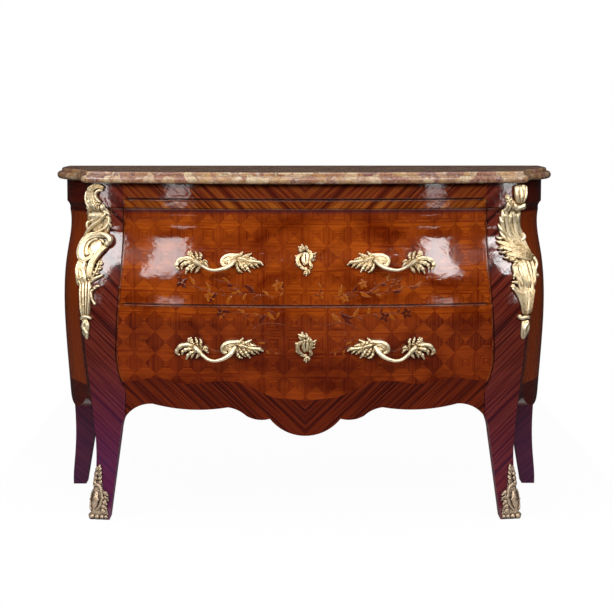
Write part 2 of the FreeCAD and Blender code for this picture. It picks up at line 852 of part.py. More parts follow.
def bow_handle(name, height):
    """A right-hand handle: a bowed bar between two scalloped leaves that lie on the drawer front."""
    x = S.handle_middle
    y = front_y(x, height)
    radius = (S.handle_half * S.handle_half + S.handle_reach * S.handle_reach) / (2 * S.handle_reach)
    sunk = radius - S.handle_reach
    tilt = math.radians(HANDLE_TILT)
    ring = doc.addObject("Part::Torus", f"{name}_ring")
    ring.setExpression("Radius1", radius.text)
    ring.setExpression("Radius2", S.handle_bar_radius.text)
    centre = (x, y + sunk * math.cos(tilt), height + sunk * math.sin(tilt))
    place(ring, centre, Rotation(Vector(1, 0, 0), HANDLE_TILT))
    bar = cut(f"{name}_bar", ring, case)
    leaves = []
    for side in (-1, 1):
        root = (x + side * S.handle_leaf_root, height)
        tip = (x + side * S.handle_leaf_tip, height)
        outline = leaf(f"{name}_leaf_{side + 1}", root, tip, S.handle_leaf_width)
        shape = prism(f"{name}_prism_{side + 1}", outline, REACH)
        leaves.append(common(f"{name}_plate_{side + 1}", shape, skin))
    whole = fuse(f"{name}_whole", bar, *leaves)
    bolts = []
    nuts = []
    for side in (-1, 1):
        bolt_x = x + side * S.handle_bolt_offset
        start = front_y(bolt_x, height) - S.mount_thickness / 2
        nut_y = inner_y(bolt_x + S.nut_size / 2)
        end = nut_y + 2 * S.nut_thickness
        at = (bolt_x, start, height)
        turn = Rotation(Vector(1, 0, 0), -90)
        bolts.append(rod(f"{name}_bolt_{side + 1}", S.handle_bolt_radius, end - start, at, turn))
        half = S.nut_size / 2
        nut = block(
            f"{name}_nut_{side + 1}",
            (bolt_x - half, bolt_x + half),
            (nut_y, nut_y + S.nut_thickness),
            (height - half, height + half),
        )
        nuts.append(cut(f"{name}_square_nut_{side + 1}", nut, bolts[-1]))
    return cut(name, whole, *bolts), bolts, nuts


def escutcheon(name, keyhole):
    """A scalloped plate round the keyhole, with two pins."""
    outline = leaf(
        f"{name}_escutcheon_leaf",
        (dim(0), keyhole - S.escutcheon_below),
        (dim(0), keyhole + S.escutcheon_above),
        S.escutcheon_width,
    )
    plate = common(f"{name}_escutcheon_plate", prism(f"{name}_escutcheon_prism", outline, REACH), skin)
    start = CORNER_Y - REACH
    length = inner_y(dim(0)) - S.lock_let_in - start
    turn = Rotation(Vector(1, 0, 0), -90)
    eye = rod(f"{name}_keyhole_eye", S.keyhole_radius, length, (0, start, keyhole), turn)
    slot = block(
        f"{name}_keyhole_slot",
        (-S.keyhole_slot / 2, S.keyhole_slot / 2),
        (start, start + length),
        (keyhole - S.keyhole_length, keyhole),
    )
    hole = fuse(f"{name}_keyhole", eye, slot)
    pins = []
    for number, (side, rise) in enumerate(((-1, -1), (1, 1))):
        height = keyhole + rise * PIN_SPREAD * S.escutcheon_above
        x = side * PIN_SPREAD * S.escutcheon_width / 2
        head = front_y(x, height) - S.mount_thickness - S.pin_proud
        length = S.pin_proud + S.mount_thickness + S.pin_depth
        pins.append(rod(f"{name}_escutcheon_pin_{number}", S.pin_radius, length, (x, head, height), turn))
    return plate, hole, pins


def drawer(name, zone, board_top, bottom, top):
    """A drawer: bowed front, dovetailed sides, back, floor, handles, escutcheon and lock."""
    handle_height = bottom + (top - bottom) * HANDLE_SHARES[name]
    keyhole = bottom + (top - bottom) * KEYHOLE_SHARES[name]
    low = board_top + S.run_clearance
    high = top - S.box_side_drop
    box_back = BACK_INNER_Y - S.box_back_gap
    inner_half = BOX_HALF - S.box_side_thickness
    floor_low = low + S.box_floor_raise
    floor_high = floor_low + S.box_floor_thickness

    front_blank = common(f"{name}_front_blank", drawer_fronts, zone)
    floor_zone = block(
        f"{name}_floor_zone",
        (-inner_half - S.box_groove, inner_half + S.box_groove),
        (-REACH, box_back),
        (floor_low, floor_high),
    )
    floor_board = common(f"{name}_drawer_bottom", floor_zone, drawer_floor_core)
    back_board = block(
        f"{name}_drawer_back",
        (-inner_half - S.box_groove, inner_half + S.box_groove),
        (box_back - S.box_side_thickness, box_back),
        (floor_high, high - S.box_back_drop),
    )
    tails, start = dovetails(name, low, high)
    side_zone = block(f"{name}_side_zone", (inner_half, BOX_HALF), (start, box_back), (low, high))
    side_body = common(f"{name}_side_body", side_zone, drawer_core)
    side_whole = fuse(f"{name}_side_whole", side_body, *tails)
    side = cut(f"{name}_drawer_side", side_whole, floor_board, back_board)
    left_tails = mirror(f"{name}_left_tails", group(f"{name}_tails", *tails))

    handle, bolts, nuts = bow_handle(f"{name}_handle", handle_height)
    left_bolts = mirror(f"{name}_left_bolts", group(f"{name}_right_bolts", *bolts))
    left_nuts = mirror(f"{name}_left_nuts", group(f"{name}_right_nuts", *nuts))
    plate, hole, pins = escutcheon(name, keyhole)
    lock_case, bolt, channel, screws = lock(name, keyhole, top)
    through = [*tails, left_tails, floor_board, *bolts, left_bolts, hole, *pins, lock_case, *screws]

    node(f"{name}_drawer_front", cut(f"{name}_drawer_front", front_blank, *through))
    node(f"{name}_drawer_right_side", side)
    node(f"{name}_drawer_left_side", mirror(f"{name}_drawer_left_side", side))
    node(f"{name}_drawer_back", back_board)
    node(f"{name}_drawer_bottom", floor_board)
    node(f"{name}_right_handle", handle)
    node(f"{name}_left_handle", mirror(f"{name}_left_handle", handle))
    node(f"{name}_handle_bolts", group(f"{name}_handle_bolts", *bolts, left_bolts))
    node(f"{name}_handle_nuts", group(f"{name}_handle_nuts", *nuts, left_nuts))
    node(f"{name}_escutcheon", cut(f"{name}_escutcheon", plate, hole, *pins))
    node(f"{name}_escutcheon_pins", group(f"{name}_escutcheon_pins", *pins))
    node(f"{name}_lock_case", cut(f"{name}_lock_case", lock_case, channel, *screws))
    node(f"{name}_lock_screws", group(f"{name}_lock_screws", *screws))
    node(f"{name}_lock_bolt", bolt)


def corner_outline(name, halves):
    """A mount seen square to the corner: half-widths at its heights, up one side and down the other."""
    rises = [half * LEAF_SCALLOP for _, half in halves]
    up = [(half, height, rise) for (height, half), rise in zip(halves, rises)]
    down = [(-half, height, rise) for (height, half), rise in zip(reversed(halves), reversed(rises))]
    down[0] = (*down[0][:2], 0)
    up[0] = (*up[0][:2], 0)
    return profile(name, "corner", (S.corner_half_width, CORNER_Y, 0), up + down)


def corner_mounts():
    """Chute at the top of each front corner, sabot at its foot, and their pins."""
    chute_top = S.case_height - S.chute_drop
    shell = chute_top - S.chute_crest_length
    leaf_height = shell - S.chute_shell_length
    stem = leaf_height - S.chute_leaf_length
    chute_halves = [
        (stem - S.chute_stem_length, S.mount_tip_half),
        (stem, S.chute_stem_half),
        (leaf_height, S.chute_leaf_half),
        ((shell + leaf_height) / 2, S.chute_waist_half),
        (shell, S.chute_shell_half),
        ((chute_top + shell) / 2, S.chute_waist_half),
        (chute_top, S.chute_crest_half),
    ]
    sabot_halves = [
        (BELOW, S.sabot_wrap_half),
        (S.sabot_wrap_height, S.sabot_wrap_half),
        (S.sabot_crest_height, S.sabot_crest_half),
        (S.sabot_top, S.mount_tip_half),
    ]
    turn = PLANES["corner"]
    outward = turn.multVec(Vector(0, 0, 1))
    pins = []
    heights = (S.sabot_wrap_height, leaf_height, shell)
    for number, height in enumerate(heights):
        _, corner, _ = level_at(height)
        spot = (S.corner_half_width + corner, CORNER_Y - corner)
        at = (spot[0] - S.pin_depth * outward.x, spot[1] - S.pin_depth * outward.y, height)
        length = S.pin_depth + math.sqrt(2) * S.mount_thickness + S.pin_proud
        pins.append(rod(f"mount_pin_{number}", S.pin_radius, length, at, turn))
    grown = S.chute_shell_half * 2
    for name, halves in (("chute", chute_halves), ("sabot", sabot_halves)):
        outline = corner_outline(f"{name}_outline", halves)
        shape = common(f"{name}_shape", prism(f"{name}_prism", outline, grown, grown), skin)
        pair(name, cut(name, shape, *pins))
    left_pins = mirror("left_mount_pins", group("right_mount_pins", *pins))
    node("mount_pins", group("mount_pins", *pins, left_pins))
    return pins


# Drawer fronts: everything between the posts below the rail, with the shaped apron at the bottom
right_edge = drawer_edge(dim(0))
apron_half, apron_end, _ = right_edge[-1]
arch = (apron_half * APRON_ARCH, apron_end + S.apron_arch_raise)
swag = (apron_half * APRON_SWAG, apron_end + S.apron_swag_raise)
turn = (apron_half * APRON_TURN, apron_end + S.apron_turn_raise)
cusp = (apron_half * APRON_CUSP, apron_end + S.apron_cusp_raise)
apron = [
    (-arch[0], arch[1], -S.apron_arch_bow),
    (-swag[0], swag[1], S.apron_swag_bow),
    (-turn[0], turn[1], -S.apron_turn_bow),
    (-cusp[0], cusp[1], S.apron_cusp_bow),
    (*cusp, S.apron_pendant_drop),
    (*turn, S.apron_cusp_bow),
    (*swag, -S.apron_turn_bow),
    (*arch, S.apron_swag_bow),
    (apron_half, apron_end, -S.apron_arch_bow),
]
rising = [(x, z, -dim(after[2])) for (x, z, _), after in zip(right_edge, right_edge[1:])][::-1]
falling = [(-x, z, -dim(bow)) for x, z, bow in right_edge]
top_edge = [(DRAWER_HALF, TOP, 0), (-DRAWER_HALF, TOP, 0)]
front_outline = apron + rising + top_edge + falling
blank_back = CORNER_Y + S.front_inset + FLOOR_MARGIN
fronts = prism("drawer_zone", profile("drawer_outline", "front", (0, blank_back, 0), front_outline), REACH)
drawer_fronts = common("drawer_fronts", cut("front_shell", case, drawer_core), fronts)
drawer_floor_core = inset_prism("drawer_floor_core", S.front_inset - S.box_groove)

marble_top()
front_post = front_posts()
rear_post = rear_posts()
rail_body, rail_tenon = frieze_rail()
back_tenons, back_panel = back_frame()
mount_pins = corner_mounts()

pair("front_post", cut("front_post", front_post, rail_tenon, *mount_pins))
pair("rear_post", cut("rear_post", rear_post, *back_tenons, back_panel))
pair("side_panel", side_panels())
right_posts = group("right_posts", front_post, rear_post)
all_posts = fuse("all_posts", front_post, rear_post, mirror("left_posts", right_posts))
rail = fuse("frieze_rail_whole", rail_body, rail_tenon, mirror("rail_left_tenon", rail_tenon))
node("frieze_rail", cut("frieze_rail", rail, lock_catch("upper", RAIL_BOTTOM)))
boards(all_posts, rail_body)

half_reveal = S.reveal / 2
sideways = (-OUTSIDE, OUTSIDE)
depthways = (-REACH, REACH)
upper_top = RAIL_BOTTOM - S.reveal
lower_top = SPLIT - half_reveal
upper_zone = block("upper_zone", sideways, depthways, (SPLIT + half_reveal, upper_top))
lower_zone = block("lower_zone", sideways, depthways, (BELOW, lower_top))
drawer("upper", upper_zone, DUST_TOP, SPLIT, upper_top)
drawer("lower", lower_zone, BOTTOM_TOP, S.apron_end_height, lower_top)

doc.recompute()
failed = [item.Name for item in doc.Objects if {"Invalid", "Error"} & set(item.State)]
for item in NODES:
    if item.Shape.isNull() or not item.Shape.isValid() or not item.Shape.Solids:
        failed.append(item.Label)
if failed:
    raise RuntimeError(f"pieces that did not build: {sorted(set(failed))}")

os.makedirs("parts", exist_ok=True)
for item in NODES:
    item.Shape.exportStep(f"parts/{item.Label}.step")
print(f"{len(NODES)} pieces written")
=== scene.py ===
"""Looks of the bombe commode chest: veneers, marble and gilt-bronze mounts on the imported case."""
import math
from functools import partial

import bmesh
import bpy
import numpy as np
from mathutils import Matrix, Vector
from mathutils.bvhtree import BVHTree


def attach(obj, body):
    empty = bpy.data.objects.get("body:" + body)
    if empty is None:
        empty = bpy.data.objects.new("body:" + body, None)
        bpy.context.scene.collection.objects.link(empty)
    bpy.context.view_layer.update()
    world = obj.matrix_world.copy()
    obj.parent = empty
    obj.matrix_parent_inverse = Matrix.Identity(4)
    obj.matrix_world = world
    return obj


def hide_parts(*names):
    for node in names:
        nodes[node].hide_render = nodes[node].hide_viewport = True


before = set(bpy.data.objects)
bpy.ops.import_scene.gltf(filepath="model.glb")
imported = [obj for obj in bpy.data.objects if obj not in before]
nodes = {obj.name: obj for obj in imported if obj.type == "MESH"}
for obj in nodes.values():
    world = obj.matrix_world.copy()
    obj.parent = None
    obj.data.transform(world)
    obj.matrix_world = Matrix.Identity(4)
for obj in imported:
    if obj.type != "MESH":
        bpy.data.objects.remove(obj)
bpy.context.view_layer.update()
scene = bpy.context.scene
scene.view_settings.view_transform = "Standard"

MM = 0.001
TINY = 1e-9
MERGE_DISTANCE = 1e-6
SIDES = {"left": -1, "right": 1}
DRAWERS = ("upper", "lower")

# Form of the case in millimetres: where the mounts and inlays lie
CORNER_Y = -175
FRONT_BOW = 85
CORNER_HALF = 527
FRIEZE, STEP, COVE = 783, 761, 7.5
SWELLS = ((0, -22, 7), (150, -22, -4.5), (534, 21, 21), (STEP, -COVE, -COVE))
HANDLE_HEIGHT = {"upper": 654, "lower": 447}
KEYHOLE_HEIGHT = {"upper": 661, "lower": 451}


def swell(z):
    """How far the front and the corner stand out from the frieze at a height."""
    if z >= STEP:
        share = min(1, (z - STEP) / (FRIEZE - STEP))
        return (-COVE * math.sqrt(1 - share * share),) * 2
    for low, high in zip(SWELLS, SWELLS[1:]):
        if z <= high[0]:
            share = max(0, (z - low[0]) / (high[0] - low[0]))
            ease = (1 - math.cos(math.pi * share)) / 2
            return tuple(a + (b - a) * ease for a, b in zip(low[1:], high[1:]))


def front_depth(x, z):
    """Depth of the bowed front at a place on it."""
    front, corner = swell(z)
    half = CORNER_HALF + corner
    bow = FRONT_BOW + front - corner
    radius = (half * half + bow * bow) / (2 * bow)
    return CORNER_Y - FRONT_BOW - front + radius - math.sqrt(radius * radius - x * x)


def tree_of(names):
    """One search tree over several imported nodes."""
    bm = bmesh.new()
    for name in names:
        bm.from_mesh(nodes[name].data)
    tree = BVHTree.FromBMesh(bm)
    bm.free()
    return tree


front_tree = tree_of(["upper_drawer_front", "lower_drawer_front", "frieze_rail", "left_front_post", "right_front_post"])
side_tree = tree_of(["right_front_post", "right_side_panel", "right_rear_post"])


def on_front(x, z):
    """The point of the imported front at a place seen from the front, in millimetres."""
    hit = front_tree.ray_cast(Vector((x * MM, -1, z * MM)), Vector((0, 1, 0)))[0]
    depth = hit.y / MM if hit and hit.y < 0 else front_depth(x, z)
    return Vector((x, depth, z))


def front_normal(x, z):
    """The way out of the front at a place on it."""
    reach = 4
    slope_x = (front_depth(x + reach, z) - front_depth(x - reach, z)) / (2 * reach)
    slope_z = (front_depth(x, z + reach) - front_depth(x, z - reach)) / (2 * reach)
    return Vector((slope_x, -1, slope_z)).normalized()


CORNER_OUT = Vector((0.81, -0.586, 0))
FLANGE_RUN = Vector((0.93, 0.36, 0))
FLANGE_OUT = Vector((0.6, -0.8, 0))
ARRIS_BLEND, SIDE_BLEND = 5, 10
PIN_BORE = 3
CAST_REACH = 60
LOWEST = 0.5
arris_seen = {}


def corner_cast(z):
    """Where a level ray from outside the right-hand corner meets the case."""
    corner = swell(z)[1]
    guess = Vector((CORNER_HALF + corner, CORNER_Y - corner, z))
    hit = side_tree.ray_cast((guess + CAST_REACH * CORNER_OUT) * MM, -CORNER_OUT)[0]
    return hit / MM if hit else guess


def arris(z):
    """The sharp right-hand corner of the case at a height, carried straight over the bores of the fixing pins."""
    key = round(z, 1)
    if key not in arris_seen:
        here = corner_cast(z)
        over = (corner_cast(z - PIN_BORE) + corner_cast(z + PIN_BORE)) / 2
        arris_seen[key] = over if (over - here).length > PIN_BORE else here
    return arris_seen[key]


def on_side(back, z):
    """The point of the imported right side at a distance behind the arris."""
    tip = arris(z)
    hit = side_tree.ray_cast(Vector((1, (tip.y + back) * MM, z * MM)), Vector((-1, 0, 0)))[0]
    return hit / MM if hit else Vector((tip.x, tip.y + back, z))


def front_lay(side, origin_x, origin_z):
    """A lay for a flat design on the front: u runs inwards from its outer end, v up, h out of the surface."""

    def lay(u, v, h):
        x = side * (origin_x - u)
        z = origin_z + v
        return (on_front(x, z) + h * front_normal(x, z)) * MM

    return lay


def corner_lay(side, wrapped=False):
    """A lay for a design on a front corner: a runs inwards from the arris, z up, h out; a wrapped one turns it."""

    def lay(a, z, h):
        z = max(z, LOWEST)
        tip = arris(z)
        near = tip.x - max(a, ARRIS_BLEND)
        front, out = on_front(near, z), front_normal(near, z)
        if a >= ARRIS_BLEND:
            point = front + h * out
        elif a >= 0:
            share = a / ARRIS_BLEND
            point = tip.lerp(front, share) + h * FLANGE_OUT.lerp(out, 0.5 + 0.5 * share).normalized()
        elif h < 0 or wrapped:
            point = on_side(-a, z) + h * FLANGE_OUT.lerp(Vector((1, 0, 0)), min(1, -a / SIDE_BLEND)).normalized()
        else:
            point = tip - a * FLANGE_RUN + h * FLANGE_OUT.lerp(out, 0.5).normalized()
        return Vector((side * point.x, point.y, max(point.z, 0))) * MM

    return lay


def along(points, steps):
    """Rows of values along a smooth line through the given rows."""
    rows = np.array(points, float)
    rows = np.vstack([2 * rows[0] - rows[1], rows, 2 * rows[-1] - rows[-2]])
    out = []
    for spot in np.linspace(0, len(points) - 1, steps + 1):
        i = min(int(spot), len(points) - 2)
        t = spot - i
        a, b, c, d = rows[i : i + 4]
        out.append(0.5 * (2 * b + (c - a) * t + (2 * a - 5 * b + 4 * c - d) * t**2 + (3 * b - a - 3 * c + d) * t**3))
    return np.array(out)


SEAT = -0.6
UNDERSIDE = -0.01
FLUTE_DEPTH, FLUTE_FACES = 0.34, 8
CRIMP = 0.2


def stroke(bm, lay, points, steps=12, ring=8, free=False, flutes=0, keel=0.0, waves=0):
    """A cast or inlaid strip along (u, v, height, half-width, relief) points, seated on the case or free of it."""
    line = along(points, steps)
    heading = np.gradient(line[:, :2], axis=0)
    heading /= np.maximum(np.linalg.norm(heading, axis=1), TINY)[:, None]
    ring = max(ring, FLUTE_FACES * flutes)
    grid = bmesh.ops.create_grid(bm, x_segments=steps, y_segments=ring, size=1)["verts"]
    for vert in grid:
        i = round((vert.co.x + 1) / 2 * steps)
        turn = math.pi * (vert.co.y + 1)
        u, v, height, width, relief = line[i]
        if i in (0, steps):
            width = relief = 0
        elif waves:
            crimp = 1 + CRIMP * math.cos(2 * math.pi * waves * i / steps)
            width, relief = width * crimp, relief * crimp
        across = math.cos(turn)
        rise = math.sin(turn)
        if rise > 0:
            rise += keel * (1 - abs(across) - rise)
            rise *= 1 - FLUTE_DEPTH * (1 - math.cos(flutes * math.pi * across))
        side_u, side_v = -heading[i][1], heading[i][0]
        level = SEAT if rise < UNDERSIDE and relief and not free else height + relief * rise
        vert.co = lay(float(u + side_u * width * across), float(v + side_v * width * across), float(level))
    bmesh.ops.remove_doubles(bm, verts=grid, dist=MERGE_DISTANCE)


def bead(bm, lay, u, v, height, radius):
    """A cast bead or boss."""
    ball = bmesh.ops.create_icosphere(bm, subdivisions=2, radius=radius)["verts"]
    for vert in ball:
        vert.co = lay(u + vert.co.x, v + vert.co.y, height + vert.co.z)


FROND_STEPS = 28


def frond(bm, lay, spine, reach, fingers, width):
    """An acanthus leaf: a narrow ribbed blade with pointed fingers that curl forwards, the longest in its middle."""
    line = along(spine, FROND_STEPS)
    stroke(bm, lay, [(u, v, 1.5, w + reach * 0.12, r * 0.7) for u, v, h, w, r in spine], steps=14, flutes=2)
    stroke(bm, lay, [(u, v, h, w * 0.5, r) for u, v, h, w, r in spine], steps=14, keel=0.6)
    for side in (-1, 1):
        for number in range(fingers):
            share = (number + 0.25) / fingers
            i = int(share * (FROND_STEPS - 1))
            height, relief = line[i][2], line[i][4]
            spot = line[i][:2]
            run = line[i + 1][:2] - spot
            run /= max(np.linalg.norm(run), TINY)
            out = side * np.array([-run[1], run[0]])
            uneven = 1 + 0.25 * math.sin(7.3 * number + 2.1 * side + reach)
            size = reach * uneven * (0.6 + 1.6 * share * (1 - share)) * (1 - 0.4 * share)
            finger = [
                (*spot, height * 0.8, width * 0.6, relief),
                (*spot + size * (0.5 * out + 0.2 * run), height * 0.9, width * 1.05, relief),
                (*spot + size * (0.85 * out + 0.45 * run), height * 0.7, width * 0.85, relief * 0.9),
                (*spot + size * (0.95 * out + 0.9375 * run), height * 0.36, width * 0.12, relief * 0.32),
            ]
            stroke(bm, lay, finger, steps=10, keel=0.7)


def lobes(bm, lay, lines, width, height):
    """Leaf lobes along the given lines: veined, broadest in the middle, with a curled tip."""
    for line in lines:
        spine = []
        for number, (u, v) in enumerate(line):
            share = number / (len(line) - 1)
            arch = share * (1 - share)
            spine.append((u, v, height * (0.7 + arch), width * (0.6 + 1.6 * arch - 0.2 * share), height * 0.7))
        stroke(bm, lay, spine, steps=20, flutes=2, waves=4)
        bead(bm, lay, *line[-1], height * 0.7, width * 0.5)


def srgb(code):
    """A written sRGB colour as linear light."""
    parts = [int(code[i : i + 2], 16) / 255 for i in (1, 3, 5)]
    return [p / 12.92 if p <= 0.04045 else ((p + 0.055) / 1.055) ** 2.4 for p in parts] + [1]


def feed(node, inputs):
    """Links or plain values for the inputs of a node."""
    for socket, value in inputs.items():
        if isinstance(value, bpy.types.NodeSocket):
            node.id_data.links.new(value, node.inputs[socket])
        else:
            node.inputs[socket].default_value = value


def add_node(tree, kind, inputs=(), out=0, stops=(), **settings):
    """A shader node with its settings, colour stops, and links or values for its inputs; gives its output."""
    made = tree.nodes.new("ShaderNode" + kind)
    for name, value in settings.items():
        setattr(made, name, value)
    feed(made, dict(inputs))
    if stops:
        elements = made.color_ramp.elements
        while len(elements) < len(stops):
            elements.new(1)
        for element, (spot, colour) in zip(elements, stops):
            element.position = spot
            element.color = srgb(colour)
    return made.outputs[out] if made.outputs else None


MIX = {"data_type": "RGBA", "out": 2}
XYZ = slice(0, 3)


def new_material(name, **constants):
    """A material, what adds a node to it, its shader with the constant sockets set, and its object coordinates."""
    material = bpy.data.materials.new(name)
    material.use_nodes = True
    shader = material.node_tree.nodes["Principled BSDF"]
    feed(shader, {socket.replace("_", " "): value for socket, value in constants.items()})
    add = partial(add_node, material.node_tree)
    return material, add, shader, add("TexCoord", out="Object")


def figure(add, place, sizes, turn=0, detail=3.0, distortion=0.2):
    """Figure stretched to real sizes in millimetres along its axes, after a turn in the plane of the front."""
    inputs = {"Vector": place, "Rotation": (0, math.radians(turn), 0), "Scale": [size * MM for size in sizes]}
    spot = add("Mapping", inputs, vector_type="TEXTURE")
    return add("TexNoise", {"Vector": spot, "Scale": 1.0, "Detail": detail, "Distortion": distortion})


STRIPE_SLOPE = 44


def striped_kingwood(add, place, dark, middle, light):
    """Kingwood cut across the grain: stripes that slope down to the middle, matched left and right."""
    folded = add("VectorMath", {0: place}, operation="ABSOLUTE")
    broad = figure(add, folded, (500, 1000, 11), -STRIPE_SLOPE, 5, 0.1)
    stops = [(0.3, dark), (0.44, middle), (0.52, light), (0.6, middle), (0.72, dark)]
    colour = add("ValToRGB", {"Fac": broad}, stops=stops)
    fine = figure(add, folded, (120, 1000, 1.8), -STRIPE_SLOPE, 2)
    pores = add("ValToRGB", {"Fac": fine}, stops=[(0.3, "#8A8078"), (0.65, "#FFFFFF")])
    return add("Mix", {0: 0.7, 6: colour, 7: pores}, blend_type="MULTIPLY", **MIX), fine


LOZENGE, LOZENGE_RISE = 52.5, 7.75
QUIET_HALF, CLEAR_HALF = 0.12, 0.3


def lozenges(add, place, least, spread):
    """Parquetry of lozenges: dark ones with upright grain between light ones with level grain, some hardly darker."""
    side = LOZENGE / math.sqrt(2) * MM
    inputs = {"Vector": place, "Location": (0, 0, LOZENGE_RISE * MM), "Rotation": (0, math.radians(45), 0)}
    lattice = add("Mapping", {**inputs, "Scale": (side, 10, side)}, vector_type="TEXTURE")
    cell = add("VectorMath", {0: lattice}, operation="FLOOR")
    count = add("VectorMath", {0: cell, 1: (1, 0, 1)}, out=1, operation="DOT_PRODUCT")
    dark = add("Math", {0: count, 1: 1.0}, operation="PINGPONG")
    chance = add("TexWhiteNoise", {"Vector": cell})
    depth = add("Math", {0: chance, 1: spread, 2: least}, operation="MULTIPLY_ADD")
    away = add("Math", {0: add("SeparateXYZ", {0: place})}, operation="ABSOLUTE")
    ends = {"From Min": QUIET_HALF, "From Max": CLEAR_HALF, "To Min": 0.45, "To Max": 1.0}
    fade = add("MapRange", {"Value": away, **ends})
    depth = add("Math", {0: depth, 1: fade}, operation="MULTIPLY")
    share = add("Math", {0: dark, 1: depth}, operation="MULTIPLY")
    upright = figure(add, place, (5, 500, 230), 0, 4, 0.1)
    level = figure(add, place, (230, 500, 5), 0, 4, 0.1)
    deep = add("ValToRGB", {"Fac": upright}, stops=[(0.34, "#4C1406"), (0.5, "#70260A"), (0.62, "#5C1C08")])
    pale = add("ValToRGB", {"Fac": level}, stops=[(0.34, "#782A09"), (0.5, "#9E4810"), (0.62, "#88380B")])
    lined = add("ValToRGB", {"Fac": upright}, stops=[(0.34, "#7A2C09"), (0.5, "#96420F"), (0.62, "#80320A")])
    plain = add("Mix", {0: dark, 6: pale, 7: lined}, **MIX)
    colour = add("Mix", {0: share, 6: plain, 7: deep}, **MIX)
    part = add("VectorMath", {0: lattice}, operation="FRACTION")
    middle = add("VectorMath", {0: part, 1: (0.5, 0.5, 0.5)}, operation="SUBTRACT")
    x, _, z = add("SeparateXYZ", {0: add("VectorMath", {0: middle}, operation="ABSOLUTE")}, XYZ)
    edge = add("Math", {0: x, 1: z}, operation="MAXIMUM")
    joint = add("ValToRGB", {"Fac": edge}, stops=[(0.488, "#FFFFFF"), (0.5, "#A88A7C")])
    cloud = figure(add, place, (110, 110, 75), 0, 4, 0.6)
    tone = add("ValToRGB", {"Fac": cloud}, stops=[(0.32, "#A27468"), (0.6, "#FFFFFF")])
    shade = add("Mix", {0: 1.0, 6: joint, 7: tone}, blend_type="MULTIPLY", **MIX)
    return add("Mix", {0: 0.85, 6: colour, 7: shade}, blend_type="MULTIPLY", **MIX)


RIPPLE_DEPTH, PORE_DEPTH = 0.0005, 0.0003


def polish(add, shader, place, colour, relief):
    """A finish over the grain: it shows the pores a little, and the slow ripples of the wood below."""
    ripples = figure(add, place, (26, 26, 17), 0, 2, 0.6)
    slow = add("Bump", {"Strength": 0.6, "Distance": RIPPLE_DEPTH, "Height": ripples})
    bump = add("Bump", {"Strength": 0.12, "Distance": PORE_DEPTH, "Height": relief, "Normal": slow})
    feed(shader, {"Base Color": colour, "Normal": bump})


POLISH = {"Roughness": 0.07, "IOR": 1.5}


def gloss_outside(add, shader, place, gloss):
    """The finish on the outer faces; inner edges and undersides have none, so they stay dull."""
    normal_x, normal_y, _ = add("SeparateXYZ", {0: add("NewGeometry", out="Normal")}, XYZ)
    side = add("Math", {0: add("SeparateXYZ", {0: place})}, operation="SIGN")
    outward = add("Math", {0: normal_x, 1: side}, operation="MULTIPLY")
    forward = add("Math", {0: normal_y, 1: -1.0}, operation="MULTIPLY")
    facing = add("Math", {0: outward, 1: forward}, operation="MAXIMUM")
    ends = {"From Min": 0.35, "From Max": 0.55, "To Min": 1.0, "To Max": gloss}
    feed(shader, {"Roughness": add("MapRange", {"Value": facing, **ends})})


def faces_front(add, shader, place, veneer):
    """Polished veneer on what faces forwards, bare dull oak on the other faces of a drawer front."""
    normal = add("NewGeometry", out="Normal")
    y = add("SeparateXYZ", {0: normal}, 1)
    forward = add("MapRange", {"Value": y, "From Min": -0.3, "From Max": -0.4})
    ends = {"To Min": 0.75, "To Max": POLISH["Roughness"]}
    feed(shader, {"Roughness": add("MapRange", {"Value": forward, **ends})})
    level = figure(add, place, (160, 9, 3))
    bare = add("ValToRGB", {"Fac": level}, stops=[(0.3, "#4A2A14"), (0.6, "#7A4C24")])
    return add("Mix", {0: forward, 6: bare, 7: veneer}, **MIX)


PAINTED_VIOLET_FROM, PAINTED_VIOLET_TO = 0.42, 0.14


def post_veneer(name, tone, right_share, **finish):
    # Kingwood veneer, sawn across the grain, polished in front and waxed behind: sloping violet-brown stripes, turned
    # violet towards the foot and more on the left as painted reflection and shade
    material, add, shader, place = new_material(name, **finish)
    stripes, fine = striped_kingwood(add, place, "#300E0B", "#561B15", "#763022")
    x, _, z = add("SeparateXYZ", {0: place}, XYZ)
    # Painted reflection and shade: the stripes turn violet towards the foot of the legs, more on the left side
    low = add("MapRange", {"Value": z, "From Min": PAINTED_VIOLET_FROM, "From Max": PAINTED_VIOLET_TO})
    spread = {"From Min": 0.5, "From Max": -0.5, "To Min": right_share, "To Max": 0.85}
    left = add("MapRange", {"Value": x, **spread})
    share = add("Math", {0: low, 1: left}, operation="MULTIPLY")
    violet = add("Mix", {0: 0.8, 6: stripes, 7: srgb(tone)}, **MIX)
    polish(add, shader, place, add("Mix", {0: share, 6: stripes, 7: violet}, **MIX), fine)
    gloss_outside(add, shader, place, finish["Roughness"])
    return material


def frieze_veneer():
    # Paler kingwood, sawn across the grain and French polished: broad sloping stripes under a clear mirror
    material, add, shader, place = new_material("kingwood_frieze_polished", **POLISH)
    stripes, fine = striped_kingwood(add, place, "#48160E", "#682714", "#88421A")
    polish(add, shader, place, stripes, fine)
    return material


BAND_FOOT, BAND_START = 0.7785, 0.7795
COVE_SHADE_FOOT, COVE_SHADE_TOP = 0.766, 0.776


